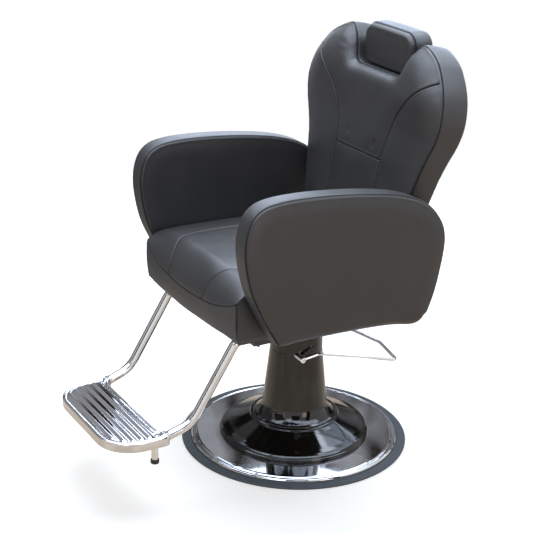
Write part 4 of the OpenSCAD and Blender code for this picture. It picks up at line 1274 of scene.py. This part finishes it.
RING_R, RING_IN = 325, 298
DISC_Z, BELL_R, BELL_TOP = 21, 214, 78
COLUMN_TOP_R, COLUMN_FOOT_R = 74.5, 119
SEAM_Z, COLLAR_TOP = 284, 340
HOLE_R, HOLE_Y, HOLE_Z = 22.5, -36, 283
# Wall of the covers, and the radius on which they are unrolled to the plane
COVER_T, UNROLL = 3, 80.0


def build_base_ring():
    profile = [
        (RING_IN, 0), (RING_R - 1.5, 0), (RING_R, 1.5), (RING_R, 4.5), (RING_R - 2.5, 6.4),
        (RING_IN + 5, 7.6), (RING_IN, 8),
    ]
    shape = turned(profile, [0, 0.8, 0.8, 2.0, 3.0, 3, 0])
    add_piece("rubber_ring", *shape, rubber, "base", "rubber", "base_ring")


def build_base_plate():
    r = RING_IN
    profile = [
        (r - 3, 1), (r, 1), (r, 11), (r - 3.5, 15.5), (r - 7.5, 15), (r - 9.5, 12.6),
        (r - 12.5, 13.2), (r - 15.5, 16.2), (r - 20, 16.8), (BELL_R + 2, DISC_Z - 0.3),
        (BELL_R - 16, DISC_Z), (74, DISC_Z + 1.8), (72, DISC_Z + 1.8), (72, 8), (86, 8),
        (86, DISC_Z - 3), (BELL_R, DISC_Z - 4), (r - 10, 9.5), (r - 4, 9), (r - 3, 8),
    ]
    radii = [0, 0, 3, 3.5, 2.5, 1.8, 1.8, 2.5, 4, 8, 0, 0, 0, 0, 0, 2, 3, 2, 1, 0]
    add_piece("chrome_disc", *turned(profile, radii), shaded_chrome, "base", "chrome", "base_plate")


def build_bell():
    r, z, n, h = BELL_R, DISC_Z, 128, BELL_TOP
    profile = [
        (r - 8, z), (r - 1, z), (r, z + 2), (r, z + 7), (r - 3.0, z + 9.2), (r - 2.2, z + 12.5),
        (r - 6.5, z + 17), (r - 14, z + 19), (r - 26, z + 23.5), (n + 11, h - 10.5),
        (n + 1, h - 5.5), (n - 1.5, h - 1.2), (n - 7, h - 0.2), (95, h), (95, h - 3),
        (n - 6, h - 3), (n, h - 7), (r - 26, z + 19), (r - 13, z + 14), (r - 8, z + 8),
    ]
    radii = [0, 1.2, 1.2, 2.6, 1.2, 3, 4, 6, 18, 10, 4, 3, 2, 0, 0, 2, 3, 8, 4, 2]
    shape = turned(profile, radii)
    add_piece("black_bell", *shape, gloss_black, "base", "gloss_black", "bell_cover")


def column_r(z):
    """Radius of the column cover: a straight taper with a flared foot that ends in a rolled lip."""
    t = (np.asarray(z, float) - BELL_TOP) / (SEAM_Z - BELL_TOP)
    shaft = COLUMN_TOP_R + (96 - COLUMN_TOP_R) * (1 - t)
    return shaft + (COLUMN_FOOT_R - 96) * np.maximum(0, 1 - t * 4.6) ** 2.2


def hole_notch(radius_at, start, end):
    """Half outline of a shaft hole on the unrolled cover, as (angle, height) points."""
    points = []
    for k in range(17):
        a = math.radians(start + (end - start) * k / 16)
        z = HOLE_Z + HOLE_R * math.sin(a)
        points.append((math.asin((HOLE_Y + HOLE_R * math.cos(a)) / float(radius_at(z))), z))
    return points


def wrapped_shell(low, high, radius_at, notch_low):
    """Outer skin, edge and inner skin of a cover round the column, cut by the two shaft holes.

    The skin is unrolled to (angle x radius, height) and joined at the rear."""
    drop = ((low if notch_low else high) - HOLE_Z) / HOLE_R
    deg = math.degrees(math.asin(max(-1, min(1, drop))))
    ends = (180 - deg, deg) if notch_low else (deg - 360, -180 - deg)
    right = hole_notch(radius_at, *ends)
    left = [(-math.pi - a, z) for a, z in right][::-1]
    start, stop = -1.5 * math.pi, 0.5 * math.pi
    if notch_low:
        corners = [(start, low), *left, *right, (stop, low), (stop, high), (start, high)]
    else:
        corners = [(start, low), (stop, low), (stop, high), *right, *left, (start, high)]
    outline = resample(dense(np.array(corners) * [UNROLL, 1], 4.0), 4.0, True)
    flat, faces = panel(outline, (), 6.0, (1.0, 2.4, 4.5))

    def place(p, depth):
        angle = p[:, 0] / UNROLL
        r = radius_at(p[:, 1]) - depth
        return np.stack([r * np.cos(angle), r * np.sin(angle), p[:, 1]], 1)

    out = -normals_of(outline, True)
    keep = np.abs(np.abs(outline[:, 0] / UNROLL + math.pi / 2) - math.pi) > 0.02
    loops = [
        place(outline + out * bulge * keep[:, None], depth)
        for depth, bulge in ((0.3, 0.4), (0.9, 0.7), (2.1, 0.7), (2.7, 0.4))
    ]
    return closed_skin(place(flat, 0), faces, loops, place(flat, COVER_T), faces)


def build_column():
    low, r = BELL_TOP + 5, float(column_r(BELL_TOP + 5))
    lip = [
        (r - 3, low + 0.2), (r + 0.2, low + 0.2), (COLUMN_FOOT_R + 0.5, BELL_TOP + 3),
        (COLUMN_FOOT_R + 1.5, BELL_TOP + 0.2), (COLUMN_FOOT_R - 3, BELL_TOP + 0.1),
        (r - 5, BELL_TOP + 2),
    ]
    shell = wrapped_shell(low, SEAM_Z - 1.2, column_r, False)
    shape = joined(shell, turned(lip, [0, 1, 2, 1.4, 0.4, 0.5], 144))
    add_piece("black_column", *shape, gloss_black, "base", "gloss_black", "column_cover")


def collar_r(z):
    """Radius of the collar, which tapers a little further."""
    z = np.asarray(z, float)
    return COLUMN_TOP_R + 0.4 - 1.5 * np.clip((z - SEAM_Z) / 52, 0, 1)


def build_collar():
    top = COLLAR_TOP
    r = float(collar_r(top - 5))
    cap = [
        (r - 3, top - 5), (r, top - 5), (r, top - 3), (r - 3, top), (22, top), (22, top - 3),
        (r - 5, top - 3.2),
    ]
    shell = wrapped_shell(SEAM_Z + 0.6, top - 5, collar_r, True)
    shape = joined(shell, turned(cap, [0, 0, 2, 3, 0, 0, 2], 144))
    add_piece("black_collar", *shape, gloss_black, "base", "gloss_black", "column_collar")


def build_pedal():
    profile = [
        (3.3, -97), (3.3, -99.4), (4.0, -100), (7.6, -100), (8.5, -99), (8.5, 99), (7.6, 100),
        (4.0, 100), (3.3, 99.4), (3.3, 97), (0.2, 97), (0.2, -97),
    ]
    radii = [0, 0.3, 0.3, 0.6, 0.6, 0.6, 0.6, 0.3, 0.3, 0, 0, 0]
    points, faces = turned(profile, radii, 40)
    points = np.stack([points[:, 2], points[:, 0] + HOLE_Y, points[:, 1] + HOLE_Z], 1)
    add_piece("shaft", points, faces, chrome, "pedal", "chrome", "pedal_shaft")
    half = [(93, -36, 283), (101, 17, 295), (128, 262, 234)]
    route = half + [(0, 288, 234)] + [(-x, y, z) for x, y, z in half[::-1]]
    line = dense(rounded_corner(route, (0, 60, 20, 60, 20, 60, 0), 10), 8)
    shape = sweep(*bar_ends(line, 5.0), 28)
    add_piece("pump_lever", *shape, chrome, "pedal", "chrome", "pedal_rod")


build_base_ring()
build_base_plate()
build_bell()
build_column()
build_collar()
build_pedal()

# ---- footrest --------------------

FOOT_ROUTE = [(193, -165, 436), (193, -303, 436), (191, -433, 225), (186, -499, 203)]
FOOT_R = 12.5
PLATE_HALF, PLATE_REAR, PLATE_FRONT, PLATE_Z = 202, -514, -663, 210
PLATE_CORNER, SKIRT = 96, 27
FLUTES, FLUTE_INSET = 5, 19
PEG_X, PEG_Y, PEG_R, PEG_LOW = 182, -534, 9, 132
# How far in from the plate's edge its two beads end, and how high its ribs stand
OUTER_BEAD, INNER_BEAD, FLUTE_H = 9.5, 16.5, 2.5
# How far the plate's edge lies under its top
EDGE_DROP = 3.4
PLATE_ROWS = (
    0.5, 1.2, 2.2, 3.4, 4.8, 6.2, 7.4, 8.4, 9.0, 9.5, 10, 10.7, 11.8, 13, 14.2, 15.4, 16, 16.5,
    17.5,
)


def build_foot_tubes():
    line = dense(rounded_corner(FOOT_ROUTE, (0, 34, 90, 0), 16), 8)
    way = np.array(FOOT_ROUTE[3], float) - FOOT_ROUTE[2]
    way /= np.linalg.norm(way)
    neck = [line[-1] + way * t for t in (0.4, 1.0, 1.2, 3, 20)]
    radii = [FOOT_R] * (len(line) - 1) + [FOOT_R - 0.2, FOOT_R - 1.0, 9.5, 7.5, 7.5, 7.5]
    points, faces = sweep(np.vstack([line, neck]), radii, 48)
    add_piece("left_tube", points, faces, plate_chrome, "seat", "chrome", "left_foot_tube")
    shape = points * [-1, 1, 1], [f[::-1] for f in faces]
    add_piece("right_tube", *shape, plate_chrome, "seat", "chrome", "right_foot_tube")


def plate_outline():
    """The footplate from above, with ears at the rear corners that carry the tubes."""
    r, x = PLATE_CORNER, PLATE_HALF
    turns = np.linspace(0, math.pi / 2, 20)
    front = [(x - r + r * math.cos(a), PLATE_FRONT + r - r * math.sin(a)) for a in turns]
    rear = [
        (0, PLATE_REAR), (138, PLATE_REAR), (156, -512.5), (168, -506.5), (172.5, -499.5),
        (186, -497.5), (199, -499.5), (201.6, -506), (x, -521),
    ]
    half = rear + front
    left = [(-a, b) for a, b in half[::-1] if a > 0.1]
    return resample(dense((half + left)[::-1], 3), 3, True)


def flute_height(p, gap):
    """Height of the rounded ribs across the plate, which fade out before its inner bead."""
    pitch = (PLATE_REAR - PLATE_FRONT - 2 * FLUTE_INSET) / FLUTES
    turn = 2 * math.pi * (p[:, 1] - PLATE_FRONT - FLUTE_INSET) / pitch
    return FLUTE_H * (0.5 - 0.5 * np.cos(turn)) * step_up(gap, INNER_BEAD, 24)


def build_foot_plate():
    outline = plate_outline()

    def top(p):
        gap, _, _ = near(p, outline, True)
        outer = 3.4 * np.sin(math.pi * np.clip(gap / OUTER_BEAD, 0, 1)) ** 0.8
        inner = np.clip((gap - OUTER_BEAD) / (INNER_BEAD - OUTER_BEAD), 0, 1)
        inner = 2.0 * np.sin(math.pi * inner) ** 0.9
        z = PLATE_Z - EDGE_DROP + outer + inner + flute_height(p, gap)
        ear = np.abs(np.abs(p[:, 0]) - 186)
        swell = np.sqrt(np.clip(1 - (ear / 15) ** 2, 0, 1))
        return z + 5.5 * swell * step_up(p[:, 1], -525, -506) * step_up(gap, 0.2, 4)

    flat, faces = panel(outline, (), 2.6, PLATE_ROWS)
    edge_z = top(outline) - 0.4
    out = -normals_of(outline, True)
    low = PLATE_Z - SKIRT
    skirt = (
        (PLATE_Z - EDGE_DROP, 0.1), (PLATE_Z - 5, 0.3), (PLATE_Z - 12, 0.5), (low + 6, 0.3),
        (low + 2.4, 0.1), (low + 0.8, -0.4), (low, -1.6), (low + 0.2, -3.2), (low + 2, -4.2),
        (PLATE_Z - 10, -4.4), (PLATE_Z - 8.4, -5.4),
    )
    loops = [np.column_stack([outline + out * grow, np.minimum(z, edge_z)]) for z, grow in skirt]
    hole = outline - out * 6.5
    under = np.column_stack([hole, np.full(len(hole), PLATE_Z - 9.0)])
    shape = closed_skin(np.column_stack([flat, top(flat)]), faces, loops, under, fill(hole))
    add_piece("chrome_footplate", *shape, plate_chrome, "seat", "chrome", "foot_plate")


def build_pegs():
    top, low = PLATE_Z - 8, PEG_LOW + 12
    peg = [(0.2, low), (PEG_R, low), (PEG_R, top), (0.2, top)]
    tip = [
        (0.2, low - 12), (10.4, low - 12), (11.5, low - 10.8), (11.5, low - 1.4), (10.4, low),
        (PEG_R - 0.2, low), (PEG_R - 0.2, low - 4), (0.2, low - 4),
    ]
    for name, profile, radii, *dress in (
        ("pegs", peg, [0, 0.5, 0.5, 0], chrome, "seat", "chrome", "foot_pegs"),
        ("peg_feet", tip, [0, 1, 1, 1, 1, 0, 0, 0], black_rubber, "seat", "rubber", "peg_tips"),
    ):
        points, faces = turned(profile, radii, 40)
        add_piece(name, *both_sides(points + [PEG_X, PEG_Y, 0], faces), *dress)


build_foot_tubes()
build_foot_plate()
build_pegs()

# ---- stage --------------------


def seen_directly(tree):
    """1 for rays from the camera, in a mirror or through glass, and 0 for light on surfaces."""
    rays = tree.nodes.new("ShaderNodeLightPath").outputs
    pair = {0: rays["Is Glossy Ray"], 1: rays["Is Transmission Ray"]}
    pair = {0: add_node(tree, "Math", pair, operation="MAXIMUM"), 1: rays["Is Camera Ray"]}
    return add_node(tree, "Math", pair, operation="MAXIMUM")


def show(tree, out, unseen, seen):
    """Sends one shader to the output for light on surfaces, and another for what is seen."""
    inputs = {"Fac": seen_directly(tree), 1: unseen, 2: seen}
    feed(tree, out, {"Surface": add_node(tree, "MixShader", inputs)})


def add_floor():
    """A matt pale floor that looks white and keeps the chair's shadow."""
    material, tree, shader = new_material("floor")
    looks = {"Base Color": (0.80, 0.80, 0.80, 1), "Roughness": 0.9, "Specular IOR Level": 0.0}
    feed(tree, shader, looks)
    shown = add_node(tree, "Emission", {"Strength": 0.52})
    lit = add_node(tree, "AddShader", {0: shown, 1: shader.outputs[0]})
    out = next(n for n in tree.nodes if n.type == "OUTPUT_MATERIAL")
    show(tree, out, shader.outputs[0], lit)
    bpy.ops.mesh.primitive_circle_add(vertices=96, radius=2.6, fill_type="NGON", location=(0, 0, 0))
    floor = bpy.context.object
    floor.name = "floor"
    floor.data.materials.append(material)


def add_world():
    """A white background for the camera and in reflections, and a softer blue light on surfaces."""
    world = bpy.data.worlds.new("studio")
    world.use_nodes = True
    bpy.context.scene.world = world
    tree = world.node_tree
    tree.nodes.clear()
    shown = add_node(tree, "Background", {"Color": (1, 1, 1, 1)})
    light = add_node(tree, "Background", {"Color": (0.86, 0.93, 1.0, 1), "Strength": 0.27})
    show(tree, tree.nodes.new("ShaderNodeOutputWorld"), light, shown)


def add_lamp(name, place, target, size, power, colour):
    """A soft rectangular lamp at a place, turned to its target."""
    data = bpy.data.lights.new(name, "AREA")
    data.shape = "RECTANGLE"
    data.size, data.size_y = size
    data.energy = power
    data.color = colour
    lamp = place_in_scene(name, data)
    lamp.location = place
    lamp.rotation_euler = (Vector(target) - Vector(place)).to_track_quat("-Z", "Y").to_euler()


def add_reflection_card(name, corners, low, high, scale=1.0, stretch=1):
    """A glowing card that only mirrors see, in blotches between two colours: a painted reflection, not a
    lamp.
    """
    material = bpy.data.materials.new(name)
    material.use_nodes = True
    tree = material.node_tree
    tree.nodes.clear()
    blotch = noise(tree, scale, 2.0, 0.5, (1, 1, stretch))
    glow = add_node(tree, "Emission", {"Color": ramp(tree, blotch, [(0.42, low), (0.58, high)])})
    feed(tree, tree.nodes.new("ShaderNodeOutputMaterial"), {"Surface": glow})
    data = bpy.data.meshes.new(name)
    data.from_pydata(corners, [], [(0, 1, 2, 3)])
    data.materials.append(material)
    card = place_in_scene(name, data)
    for rays in ("camera", "diffuse", "shadow", "transmission", "volume_scatter"):
        setattr(card, "visible_" + rays, False)


def upright(azimuth, distance, width, low, high):
    """Corners of an upright card that faces the chair from an azimuth, -Y towards +X."""
    a = math.radians(azimuth)
    x, y = distance * math.sin(a), -distance * math.cos(a)
    dx, dy = 0.5 * width * math.cos(a), 0.5 * width * math.sin(a)
    sides = ((-1, low), (1, low), (1, high), (-1, high))
    return [(x + side * dx, y + side * dy, z) for side, z in sides]


def level(half, z):
    """Corners of a level card over the middle of the scene."""
    return [(-half, -half, z), (half, -half, z), (half, half, z), (-half, half, z)]


def behind(low, high):
    """Corners of a card behind the chair, from its lower and its upper edge."""
    return [low[0], low[1], high[1], high[0]]


# Ends of the edges between the cards behind the chair, from the lowest to the highest
REAR_EDGES = (
    ((-3.1, 0.1, 1.15), (-0.5, 2.7, 1.15)),
    ((-3.0, 0.2, 1.95), (-0.6, 2.6, 1.95)),
    ((-2.6, 0.0, 3.1), (-0.4, 2.2, 3.1)),
)
# Painted reflections: glowing cards that only mirrors see, bright ones for sheen and highlights and dim
# ones for darker bands in the chrome and vinyl
# Name, corners, the blotches' two colours, their scale and how they are squeezed in height
REFLECTION_CARDS = (
    ("far_low", upright(239.6, 0.64, 2.6, 0.0, 0.66), (0.03, 0.023, 0.02), (0.42, 0.43, 0.47), 5.0, 0.4),
    ("behind_camera", upright(64, 2.7, 1.3, 1.1, 2.8), grey(0.02), grey(0.06), 2.0),
    ("front_brown", upright(8, 2.6, 1.5, 0.8, 2.8), (0.05, 0.036, 0.03), (0.26, 0.21, 0.18), 2.0),
    ("left_dark", upright(300, 1.9, 3.4, 0.0, 2.4), (0.25, 0.25, 0.27), (0.5, 0.5, 0.53), 1.4, 0.3),
    ("strip", upright(106, 2.4, 0.55, 0.0, 2.4), grey(0.01), grey(0.03), 2.0),
    ("warm_floor", level(3, 0.004), (0.70, 0.60, 0.50), (0.84, 0.75, 0.66), 2.0),
    ("ceiling", level(3.2, 3.3), (3.3, 3.8, 4.6), (4.9, 5.5, 6.6)),
    ("rear_low", behind(*REAR_EDGES[:2]), (3.2, 3.7, 4.6), (4.0, 4.6, 5.7)),
    ("rear_high", behind(*REAR_EDGES[1:]), (1.5, 1.8, 2.3), (2.0, 2.4, 3.0)),
)
# Name, place, target, size, power in watts and colour
LAMPS = (
    ("overhead", (-0.6, 0.4, 3.2), (0, 0, 0.6), (2.6, 2.6), 88, (0.84, 0.92, 1.0)),
    ("rear_soft", (-2.9, 1.7, 2.3), (0, 0, 0.7), (2.6, 1.7), 44, (0.80, 0.90, 1.0)),
    ("front_fill", (0.6, -3.4, 1.6), (0, 0, 0.6), (2.0, 1.6), 23, (1.0, 0.97, 0.94)),
    ("side_warm", (3.4, 0.6, 1.0), (0, 0, 0.6), (1.6, 1.6), 24, (1.0, 0.80, 0.68)),
)

add_floor()
add_world()
for card in REFLECTION_CARDS:
    add_reflection_card(*card)
for lamp in LAMPS:
    add_lamp(*lamp)
bpy.context.scene.view_settings.view_transform = "Standard"
